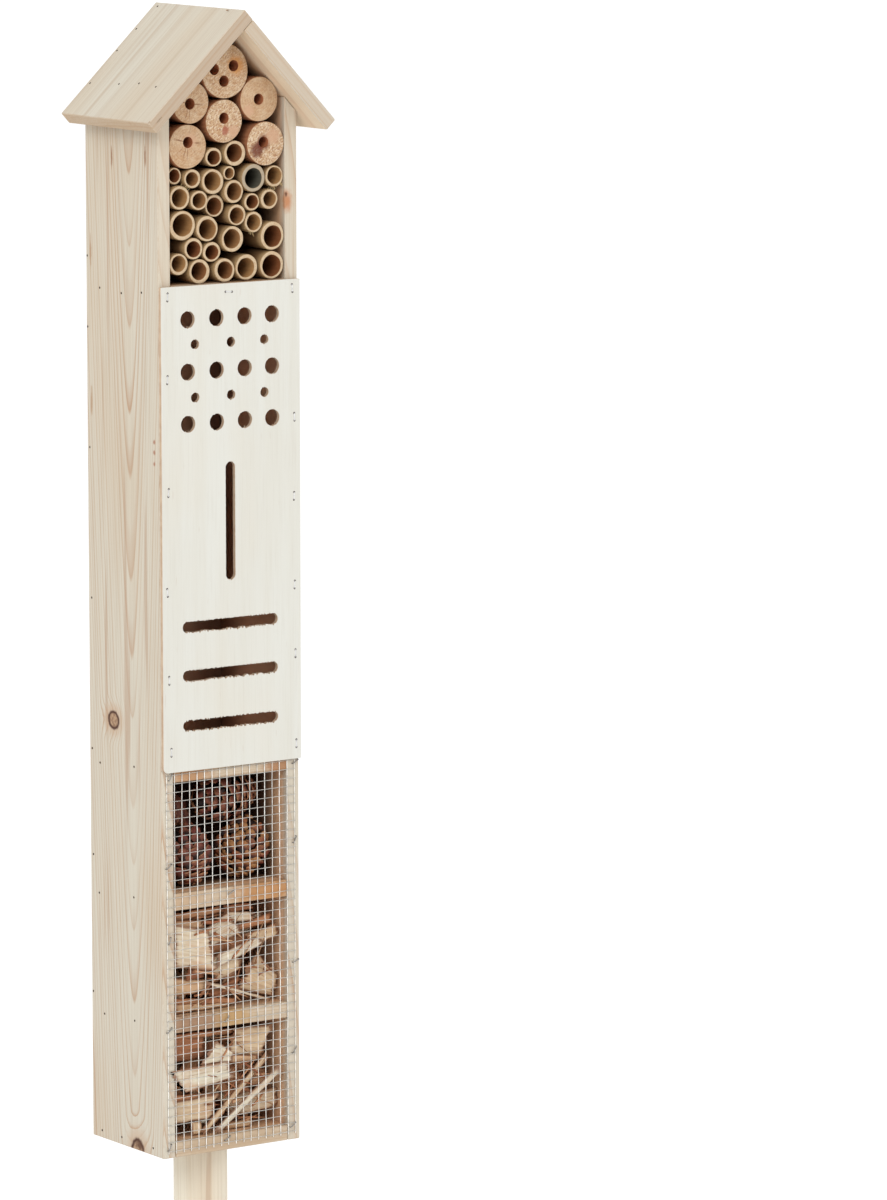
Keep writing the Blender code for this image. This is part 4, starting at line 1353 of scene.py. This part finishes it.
def make_screw():
    """The pan-head screw under the chips, with a cross recess."""
    low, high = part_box("stake_screw")
    head = 5 * MM
    top = high.z - low.z
    profile = [(0, 0.4 * MM), (6 * MM, 1.6 * MM)]
    profile += [(6 * MM + 1.5 * MM * k, (2.5 if k % 2 else 2.0) * MM) for k in range(1, 28)]
    profile += [(top - 3.0 * MM, 2.5 * MM), (top - 3.0 * MM, head), (top - 1.6 * MM, head),
                (top - 0.6 * MM, 0.86 * head), (top, 0.5 * head)]
    shank = helper("screw_turned", mesh_of(revolve(profile, 40), "screw_turned"))
    tools = []
    for turn in (0, math.pi / 2):
        bar = revolve([(top - 1.8 * MM, 0.5 * MM), (top + 1 * MM, 0.75 * MM)], 8)
        bmesh.ops.scale(bar, vec=(4.2, 1, 1), verts=bar.verts)
        tool = helper("recess", mesh_of(bar, "recess"))
        tool.rotation_euler = (0, turn, 0)
        tools.append(tool)
    mesh = carved(shank, tools, "stake_screw_turned")
    piece("stake_screw_turned", mesh, [galvanised("zinc_screw", (214, 206, 184), 0.3)],
          ["stake_screw"], (0, 0, low.z), (math.pi / 2, 0, 0))


def make_studio():
    """A pale floor, even light from all round, and one large soft lamp on the left."""
    bm = bmesh.new()
    bmesh.ops.create_grid(bm, x_segments=8, y_segments=8, size=14)
    floor = helper("studio_floor", mesh_of(bm, "studio_floor"))
    floor.location = (0, 0, -SOIL_DEPTH - 0.5 * MM)
    s = Shader("pale_floor", specular=0.1)
    grit = s.noise(s.point, 90, 2)
    colour = s.mix(grit, grey(0.95), grey(0.93))
    floor.data.materials.append(s.finish(colour, grit * 0.1 + 0.75, grit, 0.02))
    world = bpy.data.worlds.new("studio")
    world.use_nodes = True
    sky = world.node_tree.nodes["Background"].inputs
    sky["Color"].default_value = grey(1.0)
    sky["Strength"].default_value = 1.12
    bpy.context.scene.world = world
    lamp("key", (-2.6, -2.2, 2.6), (0, 0, 0.45), 1.8, 62)
    lamp("fill", (2.0, -3.2, 1.4), (0, 0, 0.5), 2.2, 26)


def lamp(name, place, target, size, power):
    light = bpy.data.lights.new(name, "AREA")
    light.size = size
    light.energy = power
    obj = helper(name, light)
    obj.location = place
    obj.rotation_euler = (Vector(target) - Vector(place)).to_track_quat("-Z", "Y").to_euler()


def make_camera():
    camera = helper("camera", bpy.data.cameras.new("camera"))
    camera.location = CAMERA_PLACE
    camera.rotation_euler = [math.radians(angle) for angle in CAMERA_TURN]
    camera.data.lens = CAMERA_LENS
    camera.data.clip_end = 60
    bpy.context.scene.camera = camera
    bpy.context.scene.view_settings.view_transform = "Standard"


make_camera()
make_studio()
make_boards()
make_panel()
make_logs()
make_tubes()
make_cones()
make_chips()
make_wire_mesh()
make_staples()
make_nails()
make_fibres()
make_stake()
make_screw()
